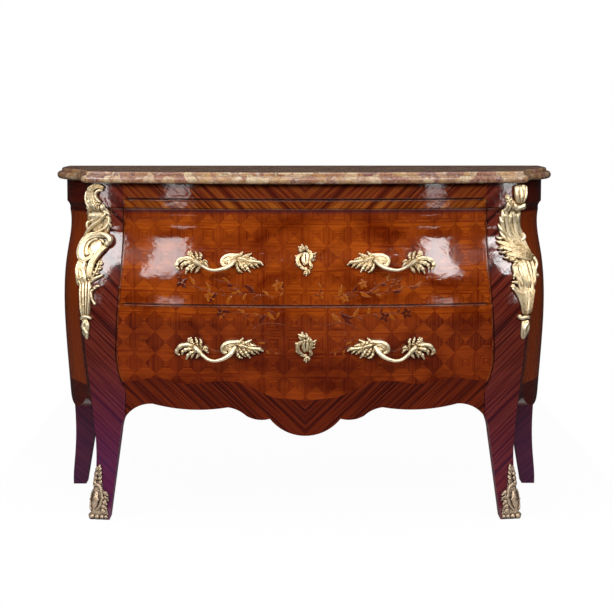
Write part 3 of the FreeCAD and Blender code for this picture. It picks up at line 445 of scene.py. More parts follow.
def upper_front():
    # Tulipwood parquetry below a kingwood band, French polished: orange-brown lozenges under a clear mirror, and a dark
    # violet line of painted shade in the cove
    material, add, shader, place = new_material("tulipwood_parquetry_polished", **POLISH)
    stripes, fine = striped_kingwood(add, place, "#4A170A", "#76300F", "#98521A")
    field = lozenges(add, place, 0.08, 0.5)
    z = add("SeparateXYZ", {0: place}, 2)
    band = add("MapRange", {"Value": z, "From Min": BAND_FOOT, "From Max": BAND_START})
    # Painted shade: a dark violet line across the cove below the band
    line = add("MapRange", {"Value": z, "From Min": COVE_SHADE_FOOT, "From Max": COVE_SHADE_TOP})
    dark = add("Mix", {0: 0.65, 6: field, 7: srgb("#3C1424")}, **MIX)
    below = add("Mix", {0: line, 6: field, 7: dark}, **MIX)
    colour = add("Mix", {0: band, 6: below, 7: stripes}, **MIX)
    polish(add, shader, place, faces_front(add, shader, place, colour), fine)
    return material


APRON_LINE = (
    (0, 312), (40, 316), (80, 321), (109, 333), (145, 351), (181, 360), (228, 358), (265, 352), (299, 352),
    (365, 364), (436, 354), (480, 350),
)
APRON_SPAN = 500
APRON_SHIFT = 0.4
APRON_JOINT_HALF = 0.0005
PAINTED_SHADE_FROM, PAINTED_SHADE_TO = 0.54, 0.43


def lower_front():
    # Tulipwood parquetry above a shaped kingwood apron, French polished: lozenges darkened and turned violet towards
    # the bottom as painted shade, sloping dark stripes
    material, add, shader, place = new_material("tulipwood_and_kingwood_polished", **POLISH)
    apron = add("VectorMath", {0: place, 1: (0, 0, APRON_SHIFT)}, operation="ADD")
    stripes, fine = striped_kingwood(add, apron, "#300A06", "#52170A", "#72280E")
    field = lozenges(add, place, 0.2, 0.5)
    x, _, z = add("SeparateXYZ", {0: place}, XYZ)
    # Painted shade: below the swell the field grows darker and more violet towards the bottom
    low = add("MapRange", {"Value": z, "From Min": PAINTED_SHADE_FROM, "From Max": PAINTED_SHADE_TO, "To Min": 0.2, "To Max": 0.8})
    field = add("Mix", {0: low, 6: field, 7: srgb("#DAC2DA")}, blend_type="MULTIPLY", **MIX)
    away = add("Math", {0: x}, operation="ABSOLUTE")
    away = add("Math", {0: away, 1: APRON_SPAN * MM}, operation="DIVIDE")
    border = add("FloatCurve", {"Value": away})
    points = border.node.mapping.curves[0].points
    while len(points) < len(APRON_LINE):
        points.new(0.5, 0.5)
    for point, (spot, height) in zip(points, APRON_LINE):
        point.location = (spot / APRON_SPAN, height / APRON_SPAN)
    border.node.mapping.update()
    above = add("Math", {0: border, 1: -APRON_SPAN * MM, 2: z}, operation="MULTIPLY_ADD")
    part = add("MapRange", {"Value": above, "From Min": -APRON_JOINT_HALF, "From Max": APRON_JOINT_HALF})
    colour = add("Mix", {0: part, 6: stripes, 7: field}, **MIX)
    polish(add, shader, place, faces_front(add, shader, place, colour), fine)
    return material


# Where the frame of a side panel meets its field: axis, then outer and inner side of the joint in metres
FRAME_JOINTS = ((2, 0.318, 0.321), (2, 0.762, 0.759), (1, -0.052, -0.049), (1, 0.172, 0.169))


def side_veneer():
    # Plain quartered tulipwood in a crossbanded frame, French polished: an upright figure inside a dark border
    material, add, shader, place = new_material("tulipwood_side_polished", Specular_IOR_Level=0.35, **POLISH)
    upright = figure(add, place, (14, 6, 600), 0, 4, 0.4)
    field = add("ValToRGB", {"Fac": upright}, stops=[(0.3, "#6A220C"), (0.5, "#8A3A12"), (0.7, "#7A2E10")])
    level = figure(add, place, (200, 90, 5))
    band = add("ValToRGB", {"Fac": level}, stops=[(0.3, "#34100C"), (0.7, "#5A1E12")])
    axes = add("SeparateXYZ", {0: place}, XYZ)
    inside = 1.0
    for axis, outer, inner in FRAME_JOINTS:
        step = add("MapRange", {"Value": axes[axis], "From Min": outer, "From Max": inner})
        inside = add("Math", {0: inside, 1: step}, operation="MULTIPLY")
    polish(add, shader, place, add("Mix", {0: inside, 6: band, 7: field}, **MIX), upright)
    gloss_outside(add, shader, place, POLISH["Roughness"])
    return material


def oak():
    # Planed oak, bare: brown-grey figure with open pores
    material, add, shader, place = new_material("planed_oak_bare", Roughness=0.62)
    broad = figure(add, place, (160, 30, 12), 0, 4, 0.6)
    pores = figure(add, place, (30, 2, 1.2), 0, 2)
    wood = add("ValToRGB", {"Fac": broad}, stops=[(0.3, "#7A5632"), (0.5, "#96703F"), (0.7, "#866038")])
    lines = add("ValToRGB", {"Fac": pores}, stops=[(0.35, "#6A5040"), (0.55, "#FFFFFF")])
    colour = add("Mix", {0: 0.5, 6: wood, 7: lines}, blend_type="MULTIPLY", **MIX)
    polish(add, shader, place, colour, pores)
    return material


WARP_SIZE, CHIP_SIZE, VEIN_SIZE = 60, 26, 22
WARP_REACH = 0.045


def brocatelle():
    # Polished brocatelle marble: cream and ochre fragments in a rose and mauve ground, with fine veins; faces that look
    # up are darkened to grey-mauve, a painted dark reflection
    material, add, shader, place = new_material("brocatelle_marble_polished", Roughness=0.2, IOR=1.52)
    warp = add("TexNoise", {"Vector": place, "Scale": 1 / (WARP_SIZE * MM), "Detail": 4.0}, "Color")
    spot = add("VectorMath", {0: warp, 1: (WARP_REACH,) * 3, 2: place}, operation="MULTIPLY_ADD")
    chips = add("TexVoronoi", {"Vector": spot, "Scale": 1 / (CHIP_SIZE * MM)}, "Color")
    tint = add("SeparateXYZ", {0: chips})
    body = add("ValToRGB", {"Fac": tint}, stops=[
        (0.05, "#B98A52"), (0.25, "#EEDDB4"), (0.42, "#9A6050"), (0.58, "#7E4440"), (0.75, "#DAB67C"),
        (0.92, "#6A4048"),
    ])
    mist = figure(add, spot, (20, 20, 14), 0, 6, 1.0)
    clouds = add("ValToRGB", {"Fac": mist}, stops=[
        (0.32, "#74443E"), (0.44, "#C89A68"), (0.54, "#9A6052"), (0.66, "#EADCBC"),
    ])
    colour = add("Mix", {0: 0.5, 6: body, 7: clouds}, **MIX)
    cracks = add("TexVoronoi", {"Vector": spot, "Scale": 1 / (VEIN_SIZE * MM)}, feature="DISTANCE_TO_EDGE")
    veins = add("ValToRGB", {"Fac": cracks}, stops=[(0.0, "#6A4438"), (0.06, "#FFFFFF")])
    colour = add("Mix", {0: 0.5, 6: colour, 7: veins}, blend_type="MULTIPLY", **MIX)
    # Painted dark reflection: faces that look upwards are darkened towards grey-mauve
    level = add("SeparateXYZ", {0: add("NewGeometry", out="Normal")}, 2)
    depth = add("MapRange", {"Value": level, "From Min": 0.8, "From Max": 0.97, "To Min": 0.2, "To Max": 0.62})
    colour = add("Mix", {0: depth, 6: colour, 7: srgb("#3A2C30")}, **MIX)
    feed(shader, {"Base Color": colour})
    return material


HOLLOW_REACH, CHASING_DEPTH = 0.011, 0.0022


def gilt_bronze(name, hollow_tone, low, high, burnished):
    # Chased and mercury-gilt bronze: pale gold on the high places, softly burnished; towards the hollows it turns brown
    # and dark, partly the gilding's own colour and partly painted shade from ambient occlusion
    material, add, shader, place = new_material(name, Metallic=0.85, Roughness=0.44)
    # Painted shade: ambient occlusion darkens the hollows and recesses towards the dark tone
    hollow_shade = add("AmbientOcclusion", {"Distance": HOLLOW_REACH}, "AO", samples=8)
    chased = figure(add, place, (5, 5, 6), 0, 4, 0.6)
    worn = add("Math", {0: chased, 1: 1.0, 2: -0.48}, operation="MULTIPLY_ADD")
    shade = add("Math", {0: hollow_shade, 1: worn}, operation="ADD")
    stops = [(0.12, hollow_tone), (0.36, low), (0.58, high), (0.88, burnished)]
    colour = add("ValToRGB", {"Fac": shade}, stops=stops)
    bump = add("Bump", {"Strength": 0.7, "Distance": CHASING_DEPTH, "Height": chased})
    feed(shader, {"Base Color": colour, "Normal": bump})
    return material


def filed_metal(name, low, high, roughness):
    # Filed and aged metal of the hidden fittings: fine scratches and a dull shine
    material, add, shader, place = new_material(name, Metallic=1.0, Roughness=roughness)
    marks = figure(add, place, (20, 1.5, 1.5))
    polish(add, shader, place, add("ValToRGB", {"Fac": marks}, stops=[(0.3, low), (0.7, high)]), marks)
    return material


def inlay_wood(name, low, high):
    # Stained and scorched woods, cut with a fine saw and polished with the ground: quiet light and dark leaves; in near
    # black it also paints shadow lines in the gaps
    material, add, shader, place = new_material(name, **POLISH)
    fibres = figure(add, place, (9, 9, 2.5), 20)
    polish(add, shader, place, add("ValToRGB", {"Fac": fibres}, stops=[(0.35, low), (0.65, high)]), fibres)
    return material


KINGWOOD = post_veneer("kingwood_veneer_polished", "#4A1C46", 0.3, **POLISH)
# The rear legs take a darker violet on both sides: painted shade
REAR_KINGWOOD = post_veneer("kingwood_veneer_waxed_in_painted_shade", "#36123A", 0.85, Roughness=0.4, Specular_IOR_Level=0.15)
FRIEZE_WOOD = frieze_veneer()
UPPER_FRONT = upper_front()
LOWER_FRONT = lower_front()
SIDE_VENEER = side_veneer()
OAK = oak()
MARBLE = brocatelle()
GILT = gilt_bronze("gilt_bronze_chased", "#2C190A", "#8A673C", "#D0B07C", "#F6E6C2")
# A darker, violet-brown copy of the gilt for the toe mounts: painted shade and violet reflection
GILT_IN_PAINTED_SHADE = gilt_bronze("gilt_bronze_in_painted_shade", "#0A0408", "#261718", "#56423A", "#B29C84")
STEEL = filed_metal("filed_steel", "#4A4846", "#6E6C68", 0.42)
BRASS = filed_metal("turned_brass", "#7A5A2A", "#B08A48", 0.35)

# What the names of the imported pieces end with, for all but the plain oak and the locks
FINISHES = {
    "marble_top": MARBLE, "upper_drawer_front": UPPER_FRONT, "lower_drawer_front": LOWER_FRONT,
    "frieze_rail": FRIEZE_WOOD, "front_post": KINGWOOD, "rear_post": REAR_KINGWOOD, "side_panel": SIDE_VENEER,
    "bolts": BRASS, "nuts": BRASS, "pins": BRASS,
}

for name, node in nodes.items():
    plain = STEEL if "lock" in name else OAK
    finish = next((finish for ending, finish in FINISHES.items() if name.endswith(ending)), plain)
    node.data.materials.clear()
    node.data.materials.append(finish)


def placed(name, data):
    """An object at the origin that holds a mesh, a lamp or a camera."""
    made = bpy.data.objects.new(name, data)
    scene.collection.objects.link(made)
    return made


def formed(name, bm, material):
    """An object with a finished mesh in one material."""
    mesh = bpy.data.meshes.new(name)
    bm.to_mesh(mesh)
    bm.free()
    mesh.materials.append(material)
    return placed(name, mesh)


def piece(name, bm, body, material, slot, *replaced):
    """A finished new piece: faces turned outwards, smooth, riding on its body."""
    bmesh.ops.recalc_face_normals(bm, faces=bm.faces)
    for face in bm.faces:
        face.smooth = True
    made = formed(name, bm, material)
    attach(made, body)
    if replaced:
        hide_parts(*replaced)


def casting(lay):
    """A new cast mount on a lay: its mesh, and the strips, leaves, knobs and fronds that shape it."""
    bm = bmesh.new()
    return bm, *(partial(shape, bm, lay) for shape in (stroke, lobes, bead, frond))


HANDLE_END = 313


def bow_handle(level, side):
    """A cast handle: an outer leaf with a flower, a sagging bar that ends in a folded curl, and an inner leaf."""
    bm, strip, leaves, knob, _ = casting(front_lay(SIDES[side], HANDLE_END, HANDLE_HEIGHT[level]))
    bar = [
        (40, 2, 9, 7, 6), (56, -7, 19, 5.6, 5.4), (69, -15, 31, 4.2, 4.4), (83, -22.5, 38, 3.6, 3.8),
        (98, -25.5, 39, 3.4, 3.6), (114, -22.5, 36, 4.2, 4.2), (127, -17, 30, 5, 5), (136, -9.5, 24, 5.6, 5.4),
        (142, -1, 17, 5.6, 5), (148, 5, 10, 5, 4),
    ]
    strip(bar, steps=40, ring=12, free=True)
    # Folded leaf curl at the inner end of the bar
    rim = [
        (158, 15, 6, 3, 4), (142, 13, 10, 5, 6), (127, 11.5, 13, 5.5, 6), (116, 5, 14, 5, 6), (113, -3, 14, 4.4, 6),
        (118, -11, 14, 4, 5), (127, -12, 15, 3, 4),
    ]
    strip(rim, steps=26, flutes=2)
    strip([(150, 8, 6, 5, 5), (136, 5, 12, 7, 6), (124, 0, 14, 7, 6), (120, -8, 13, 5, 5)], steps=14, flutes=3)
    strip([(146, 0, 8, 4, 5), (136, -4, 15, 5, 6), (128, -10, 16, 4, 5)], flutes=2)
    # Outer leaf
    strip([(66, -5, 3, 5, 4), (50, -3, 5, 11, 5), (34, -4, 4, 11, 4), (18, -3, 2, 5, 3)], steps=14, flutes=3)
    leaves([[(55, -6), (37, 4), (17, 4), (5, -4), (1, -14), (6, -20)]], 5.6, 10)
    leaves([[(55, -9), (42, -12), (30, -19), (24, -30)], [(46, -4), (30, -5), (17, -10), (14, -19)]], 4.8, 10)
    leaves(
        [[(58, -12), (53, -21), (48, -28)], [(48, -10), (40, -19), (37, -27)], [(62, -6), (71, -6), (77, -14)]],
        3.6, 9,
    )
    leaves(
        [
            [(54, -2), (51, 12), (47, 22)], [(57, 0), (61, 12), (58, 19)], [(46, 2), (40, 11), (30, 9)],
            [(66, -6), (70, 0), (76, -3)],
        ],
        3.4, 9,
    )
    flower_u, flower_v, spread, petals = 34.5, 17, 4.4, 5
    for number in range(petals):
        angle = 2 * math.pi * number / petals
        knob(flower_u + spread * math.cos(angle), flower_v + spread * math.sin(angle), 9, 3.2)
    knob(flower_u, flower_v, 11, 2.8)
    # Inner leaf
    strip([(136, 6, 3, 6, 4), (156, 2, 5, 14, 5), (176, -2, 5, 12, 5), (196, -4, 2, 4, 3)], steps=14, flutes=3)
    leaves([[(140, 9), (160, 5), (185, -1), (203, -3), (210, -8)]], 4.6, 10)
    leaves([[(146, 9), (154, 13), (162, 22)], [(156, 7), (170, 12), (182, 18)], [(168, 3), (182, 6), (193, 4)]], 4.2, 9)
    leaves(
        [[(168, 0), (179, -7), (190, -16)], [(160, 1), (170, -12), (179, -25)], [(152, 1), (158, -11), (168, -22)]],
        4.2, 9,
    )
    leaves(
        [
            [(146, 2), (148, -12), (153, -22), (160, -26)], [(160, 8), (172, 8), (180, 10)],
            [(180, -2), (192, -6), (200, -14)],
        ],
        3.6, 9,
    )
    piece(f"{level}_{side}_cast_handle", bm, f"{level}_drawer", GILT, "gilt_bronze", f"{level}_{side}_handle")


def cartouche(level):
    """A pierced escutcheon: a shield with the keyhole, lopsided C-scrolls, flame leaves, a leafy crest and a tail."""
    bm, strip, leaves, *_ = casting(front_lay(-1, 0, KEYHOLE_HEIGHT[level]))
    # Shield round the keyhole
    strip([(-1, 18, 2, 3.4, 3), (-4.6, 6, 3, 4.4, 4), (-4.2, -6, 3, 4.4, 4), (1, -17, 2, 3.4, 3)], flutes=2)
    strip([(5, 18, 2, 3.4, 3), (6.6, 6, 3, 4.2, 4), (6, -5, 3, 4.2, 4), (3, -15, 2, 3.4, 3)], flutes=2)
    # C-scrolls
    left_band = [
        (-5, 13, 5, 2.6, 4), (-13, 8, 6, 3.8, 5), (-18.5, 1, 7, 4.6, 5), (-18, -9, 7, 4.6, 5), (-12, -18, 6, 4.2, 5),
        (-3, -24, 5, 3.6, 4), (6, -22, 4, 2.4, 3),
    ]
    right_band = [
        (1, 21, 4, 2.6, 3), (10, 18, 6, 3.6, 5), (15, 9, 7, 4, 5), (14, 0, 7, 3.8, 5), (11, -8, 6, 3.4, 4),
        (13, -15, 6, 3.8, 5), (15, -20, 6, 3.4, 5), (9, -25, 4, 2.4, 3),
    ]
    for band in (left_band, right_band):
        strip(band, steps=28, flutes=3)
    # Crest, flames, fringe and tail
    leaves(
        [
            [(0, 20), (-6, 27), (-8, 33)], [(-2, 21), (-10, 25), (-16, 28)], [(-4, 19), (-11, 19), (-15, 22)],
            [(0, 21), (3, 25), (2, 30)],
        ],
        4.2, 7,
    )
    leaves([[(14, 9), (20, 10), (26, 14)], [(14, 3), (20, 3), (24, 6)], [(13, -3), (18, -4), (23, -3)]], 2.8, 6)
    leaves([[(-18, 5), (-22, 6), (-24, 3)], [(-17, -10), (-21, -12), (-21, -16)]], 2.4, 5)
    leaves([[(3, -24), (3, -33), (2, -41)], [(3, -28), (-1, -33), (-3, -37)], [(5, -26), (9, -31), (8, -36)]], 3, 6)
    piece(f"{level}_cast_escutcheon", bm, f"{level}_drawer", GILT, "gilt_bronze", f"{level}_escutcheon")


def left_chute():
    """The left corner mount: a hooked crest, ribbed leaf, shell scroll, side branch, fluted stem and twisted tip."""
    bm, strip, _, knob, acanthus = casting(corner_lay(-1))
    # Hooked crest and the rockwork below it
    hook = [
        (36, 829, 6, 4, 5), (20, 834, 8, 6, 7), (5, 827, 8, 8, 7), (2, 811, 7, 10, 7), (6, 795, 6, 14, 7),
        (8, 778, 5, 16, 6),
    ]
    strip(hook, steps=28, flutes=4)
    strip(
        [(34, 824, 6, 3, 4), (22, 823, 9, 3.6, 5), (15, 813, 10, 3.6, 5), (19, 801, 9, 3.6, 5), (28, 793, 6, 3, 4)],
        steps=16,
    )
    strip([(-6, 824, 6, 2.6, 4), (-9, 806, 8, 3.4, 5), (-6, 790, 8, 3.4, 5), (2, 778, 7, 3, 4)], steps=14)
    acanthus([(8, 804, 8, 4, 5), (14, 790, 9, 4, 5), (24, 776, 6, 2, 3)], 11, 4, 3)
    for a, z, size in ((-3, 795, 5.5), (10, 787, 6), (30, 784, 5), (-5, 780, 5)):
        knob(a, z, 8, size)
    # Hollow leaf with its long ridge and scalloped edges
    strip(
        [(8, 800, 2, 6, 4), (7, 784, 3, 18, 5), (5, 764, 4, 22, 6), (2, 742, 5, 20, 6), (-6, 720, 5, 12, 5)],
        steps=24, flutes=5,
    )
    strip(
        [(30, 792, 2, 4, 4), (30, 776, 3, 8, 6), (31, 756, 4, 9, 7), (28, 736, 5, 9, 7), (24, 714, 5, 8, 6)],
        steps=20, flutes=3,
    )
    ridge = [
        (28, 790, 6, 3, 5), (31, 768, 9, 3.8, 6), (18, 751, 11, 4.2, 7), (-1, 737, 12, 4.6, 8), (-15, 723, 12, 4.8, 8),
        (-24, 704, 10, 4, 6),
    ]
    strip(ridge, steps=22, keel=0.4)
    strip([(39, 760, 5, 3, 4), (34, 740, 9, 3.8, 5), (18, 724, 11, 4.2, 6), (-6, 713, 11, 4, 6)], steps=16, keel=0.4)
    for z in (772, 758, 744):
        strip([(-2, z + 8, 6, 2.6, 4), (-11, z, 8, 3.4, 4), (-18, z - 9, 6, 2, 3)], steps=8, keel=0.5)
        strip([(30, z + 4, 6, 2.6, 4), (37, z - 4, 8, 3.2, 4), (41, z - 13, 5, 2, 3)], steps=8, keel=0.5)
    strip([(-14, 748, 6, 3.4, 5), (-20, 738, 9, 4, 5), (-17, 724, 8, 3.6, 5)], steps=12)
    # Shell scroll with its crest, bowl and knob
    shell = [
        (32, 707, 9, 5, 6), (12, 713, 12, 7, 8), (-10, 709, 12, 9, 8), (-22, 696, 12, 10, 9), (-25, 678, 12, 10, 9),
        (-20, 662, 12, 9, 9), (-9, 652, 11, 7, 8), (3, 657, 9, 5, 6), (8, 668, 8, 3, 4),
    ]
    strip(shell, steps=40, flutes=2)
    strip([(8, 706, 3, 12, 4), (6, 682, 4, 21, 4), (4, 658, 3, 12, 4)], ring=14)
    eye_a, eye_z = 14, 684
    for share in (0.66, 0.36):
        fold = []
        for a, z, height, _, _ in shell[1:7]:
            fold.append((eye_a + share * (a - eye_a), eye_z + share * (z - eye_z), 2 + height * share, 4, 4))
        strip(fold, steps=24, flutes=2)
    strip([(14, 703, 9, 2.6, 4), (24, 698, 10, 3.2, 5), (30, 692, 10, 3, 5)])
    crest = [(4, 716, 10, 4, 6), (24, 714, 13, 6, 8), (41, 705, 13, 6.4, 8), (42, 692, 11, 6, 7), (33, 688, 9, 4, 5)]
    strip(crest, steps=20, ring=10)
    knob(38, 691, 10, 8.5)
    limb = [
        (38, 687, 7, 5, 5), (29, 678, 9, 7, 7), (19, 662, 9, 8, 7), (12, 644, 9, 8, 7), (11, 626, 8, 8, 7),
        (12, 604, 6, 6, 6),
    ]
    strip(limb, steps=24, flutes=3)
    # Leafy body below the shell
    strip([(-12, 656, 5, 9, 6), (-12, 636, 6, 13, 7), (-8, 612, 6, 13, 7), (-2, 588, 5, 9, 6)], steps=18, flutes=4)
    for a, lean in ((-20, 4), (-12, 6), (-4, 6)):
        vein = [(a, 656, 8, 3, 5), (a - 1, 632, 11, 4.6, 6), (a + lean, 608, 10, 4, 5), (a + lean * 1.4, 588, 6, 2, 3)]
        strip(vein, steps=16, flutes=2)
    strip([(-22, 634, 8, 2, 3), (-10, 628, 14, 2.6, 4), (0, 632, 12, 2, 3)], steps=10)
    strip([(-18, 612, 8, 2, 3), (-8, 606, 13, 2.6, 4), (2, 614, 11, 2, 3)], steps=10)
    # Pierced side branch and curls
    acanthus([(14, 598, 5, 4, 5), (26, 622, 6, 5, 5), (30, 654, 5, 3, 4)], 12, 5, 3.2)
    strip([(16, 598, 5, 3.6, 4), (30, 608, 7, 3.8, 4), (40, 613, 6, 3, 4), (46, 618, 4, 2, 3)])
    strip([(18, 572, 5, 3, 4), (25, 580, 6, 3.4, 4), (32, 588, 6, 3.2, 4), (41, 590, 4, 2, 3)])
    strip([(18, 582, 5, 3, 4), (22, 566, 6, 3, 4), (25, 554, 5, 2.8, 3), (33, 545, 4, 2, 3)])
    knob(31, 546, 4, 3.8)
    # Fluted stem, collar and tip leaf
    strip(
        [(4, 604, 2, 13, 4), (6, 580, 3, 13.5, 4), (8, 550, 3, 13, 4), (8, 522, 3, 11, 4), (8, 506, 3, 7, 4)],
        steps=16,
    )
    for share in (-0.8, -0.3, 0.25, 0.8):
        strand = [
            (4 + 12 * share, 604, 4, 2.6, 5), (6 + 13 * share, 580, 6, 3.4, 7), (8 + 12 * share, 550, 6, 3.2, 7),
            (8 + 9 * share, 522, 6, 2.6, 6), (8 + 6 * share, 508, 4, 2, 4),
        ]
        strip(strand, steps=16)
    strip([(-5, 506, 5, 3, 4), (5, 513, 8, 4.4, 5), (16, 513, 8, 4, 5), (24, 508, 5, 2.6, 3)])
    strip([(4, 510, 5, 6, 5), (11, 492, 6, 7, 6), (6, 474, 6, 6, 5), (10, 457, 4, 3, 3)], steps=14, flutes=2)
    strip([(12, 508, 5, 5, 5), (3, 490, 7, 5, 5), (10, 472, 7, 5, 5), (5, 460, 4, 2, 3)], steps=14)
    piece("left_cast_chute", bm, "carcass", GILT, "gilt_bronze", "left_chute")


def right_chute():
    """The right corner mount: a bell leaf, plumes, a leaf swept to the front, a side curl, stems and a bud."""
    bm, strip, leaves, knob, acanthus = casting(corner_lay(1))
    # Bell leaf with its curled lip
    strip([(-2, 839, 3, 9, 4), (-2, 826, 6, 16, 8), (-1, 808, 6, 14, 8), (0, 788, 5, 9, 6)], steps=18, flutes=4)
    for a, lean in ((9, 4), (-1, 0), (-12, -4)):
        strip([(a * 0.4, 790, 8, 3, 5), (a, 810, 11, 4.4, 6), (a + lean, 836, 6, 2.6, 4)], keel=0.4)
    strip([(16, 792, 5, 3.4, 5), (7, 783, 8, 4.4, 6), (-5, 784, 9, 5, 6), (-14, 791, 7, 3, 4)])
    knob(-7, 785, 10, 6.5)
    acanthus([(16, 780, 5, 4, 5), (27, 796, 7, 5, 5), (31, 813, 4, 3, 3)], 11, 4, 3.4)
    # Plumes
    strip(
        [(14, 800, 2, 10, 4), (13, 772, 4, 23, 5), (10, 738, 5, 26, 6), (2, 704, 5, 23, 6), (-14, 672, 5, 13, 6)],
        steps=22, flutes=3,
    )
    for number, (start, lift) in enumerate(((27, 6), (19, 9), (10, 8), (0, 9), (-9, 7))):
        lean = 3 * math.sin(2.6 * number)
        plume = [
            (start * 0.8 + 4, 802 - 4 * number, 5, 2.4, 4), (start + 6 + lean, 770, lift, 4.6, 5),
            (start + 3 - lean, 740, lift + 2, 5.4, 6), (start - 6 + lean, 712, lift + 1, 5, 6),
            (start * 0.7 - 16, 688, lift, 4, 5), (start * 0.4 - 26, 664, 7, 2.4, 4),
        ]
        strip(plume, steps=24, flutes=2)
    for z, reach in ((712, 37), (730, 41), (748, 40), (766, 38)):
        strip([(22, z - 20, 6, 4, 5), (reach - 7, z - 4, 8, 4.6, 5), (reach, z + 12, 3, 1.4, 2)], keel=0.5)
    strip([(-12, 696, 6, 4, 5), (-22, 707, 9, 5, 6), (-20, 719, 6, 2.6, 4)])
    # Leaf swept to the front, in three fingers
    for start, rise, reach, drop in ((-34, 657, 50, 0), (-31, 655, 46, 8), (-29, 651, 39, 17)):
        finger = [
            (start, rise, 10, 5, 6), (start * 0.25, rise + 14 - drop * 0.5, 13, 7, 8),
            (reach * 0.42, rise + 28 - drop, 12, 7.4, 7), (reach * 0.8, rise + 36 - drop * 1.2, 9, 5, 5),
            (reach, rise + 41 - drop * 1.25, 4, 1.4, 3),
        ]
        strip(finger, steps=22, flutes=3)
        for share in (0.25, 0.5, 0.75):
            root = (reach * share, rise + 34 * share - drop * (0.4 + share * 0.8))
            barb = [(*root, 9, 3, 5), (root[0] + 8, root[1] - 4, 10, 3.4, 5), (root[0] + 15, root[1] - 1, 4, 1.2, 2)]
            strip(barb, steps=8, keel=0.5)
    strip([(30, 706, 5, 3, 4), (40, 704, 6, 4, 4), (48, 708, 4, 2, 3)])
    # Side curl with its ball
    strip([(-30, 660, 9, 6, 6), (-36, 642, 9, 4.6, 5), (-29, 626, 8, 3.6, 4), (-31, 615, 7, 2.6, 3)], steps=14)
    knob(-32, 613, 7, 4.6)
    # Stems gathered to the collar
    strip(
        [(0, 660, 3, 10, 5), (-4, 624, 3, 19, 6), (-3, 590, 3, 17, 6), (3, 550, 3, 11, 5), (7, 512, 3, 6, 4)],
        steps=20,
    )
    folds = [
        [(34, 662), (24, 655), (12, 644), (9, 615), (0, 584), (-2, 554), (4, 514)],
        [(26, 668), (12, 664), (-2, 648), (-5, 621), (-8, 596), (-6, 566), (2, 514)],
        [(12, 670), (-4, 662), (-12, 646), (-15, 621), (-14, 593), (-9, 562), (0, 516)],
        [(-14, 664), (-22, 652), (-24, 640), (-24, 621), (-20, 590), (-12, 560), (-3, 518)],
    ]
    collar, thin_above = 514, 655
    for fold in folds:
        strip([(a, z, 8, 2.4 + 0.017 * (z - collar), 6 - 3 * (z > thin_above)) for a, z in fold], steps=28, flutes=2)
    strip(
        [(12, 646, 5, 5, 5), (22, 628, 7, 7, 6), (16, 600, 7, 7, 6), (13, 560, 6, 6, 6), (9, 514, 4, 4, 5)],
        steps=22, flutes=3,
    )
    strip([(36, 594, 4, 3, 4), (29, 582, 7, 6, 5), (19, 564, 6, 6, 5), (12, 536, 5, 4, 5)], steps=14, flutes=2)
    knob(16, 638, 7, 5)
    leaves(
        [
            [(10, 632), (20, 640), (27, 634)], [(14, 610), (25, 616), (30, 606)], [(12, 590), (24, 596), (34, 598)],
            [(10, 566), (20, 572), (30, 574)],
        ],
        4, 8,
    )
    # Collar and bud
    strip([(26, 514, 4, 3, 4), (16, 510, 8, 4.6, 5), (4, 512, 8, 4.6, 5), (-6, 509, 5, 3, 4)])
    knob(21, 514, 6, 5)
    strip([(6, 506, 4, 8, 5), (5, 488, 6, 10, 7), (7, 470, 5, 8, 6), (9, 456, 3, 3, 3)], steps=14, ring=12, flutes=3)
    strip([(0, 500, 7, 4, 5), (8, 484, 9, 5, 5), (5, 468, 7, 3, 4)])
    piece("right_cast_chute", bm, "carcass", GILT, "gilt_bronze", "right_chute")


def sabot(side):
    """A toe mount: a crest of stacked leaves, an oval boss in a C-scroll, a leaf fringe, and round toes."""
    bm, strip, _, knob, _ = casting(corner_lay(SIDES[side], wrapped=True))
    # Ground that wraps the toe
    strip(
        [(8, 104, 1, 8, 3), (9, 76, 1, 14, 3), (13, 46, 2, 20, 3), (16, 18, 2, 26, 3), (15, 3, 2, 25, 3)],
        steps=16, ring=14,
    )
    strip([(-4, 96, 1, 6, 2), (-11, 66, 1, 11, 2), (-15, 36, 1, 15, 2), (-16, 4, 1, 14, 2)], steps=14, ring=12)
    # Crest of stacked leaves
    stem = 8
    for z, spread in ((88, 9), (99, 8), (110, 6.5), (121, 4.5)):
        for tip in (-spread, spread):
            leaf = [(stem, z - 2, 3, 3.4, 4), (stem + 0.6 * tip, z + 3, 5, 4.4, 5), (stem + tip, z + 11, 3, 2.6, 3)]
            strip(leaf, steps=10, flutes=2)
            knob(stem + tip, z + 10, 3, 2.2)
    strip([(8, 112, 4, 3.4, 4), (9, 126, 5, 4, 5), (11, 139, 2, 1.6, 3)], flutes=2)
    # Scroll, boss and fringe
    scroll = [
        (-1, 84, 4, 3, 4), (8, 88, 6, 4.4, 5), (18, 80, 6, 4.6, 6), (24, 58, 6, 4.6, 6), (22, 38, 6, 4.2, 5),
        (10, 22, 5, 3.4, 4),
    ]
    strip(scroll, steps=24, ring=10)
    strip([(-1, 76, 3, 3, 4), (-6, 60, 4, 3, 4), (-6, 40, 4, 3, 4), (0, 22, 4, 3, 4)], steps=16)
    strip([(8, 74, 2, 5, 4), (9, 50, 4, 9, 6), (8, 26, 2, 6, 4)], steps=14, ring=14)
    for number in range(5):
        z = 66 - 11 * number
        strip([(22, z + 5, 4, 3.6, 4), (30, z + 1, 6, 5, 5), (37, z - 4, 4, 3.6, 4)], steps=10, flutes=2)
        knob(36.5, z - 4, 4, 3.4)
        strip([(-10, z + 3, 2, 2.6, 3), (-17, z - 1, 3, 3.2, 3), (-24, z - 5, 2, 2, 3)], steps=8)
    # Toes
    for a, size in ((37, 5.6), (27, 7), (15, 8), (2, 8), (-11, 7), (-22, 5.6)):
        knob(a, 8, 3, size)
    # The toe mounts in the darker gilt: painted shade
    piece(f"{side}_cast_sabot", bm, "carcass", GILT_IN_PAINTED_SHADE, "gilt_bronze", f"{side}_sabot")


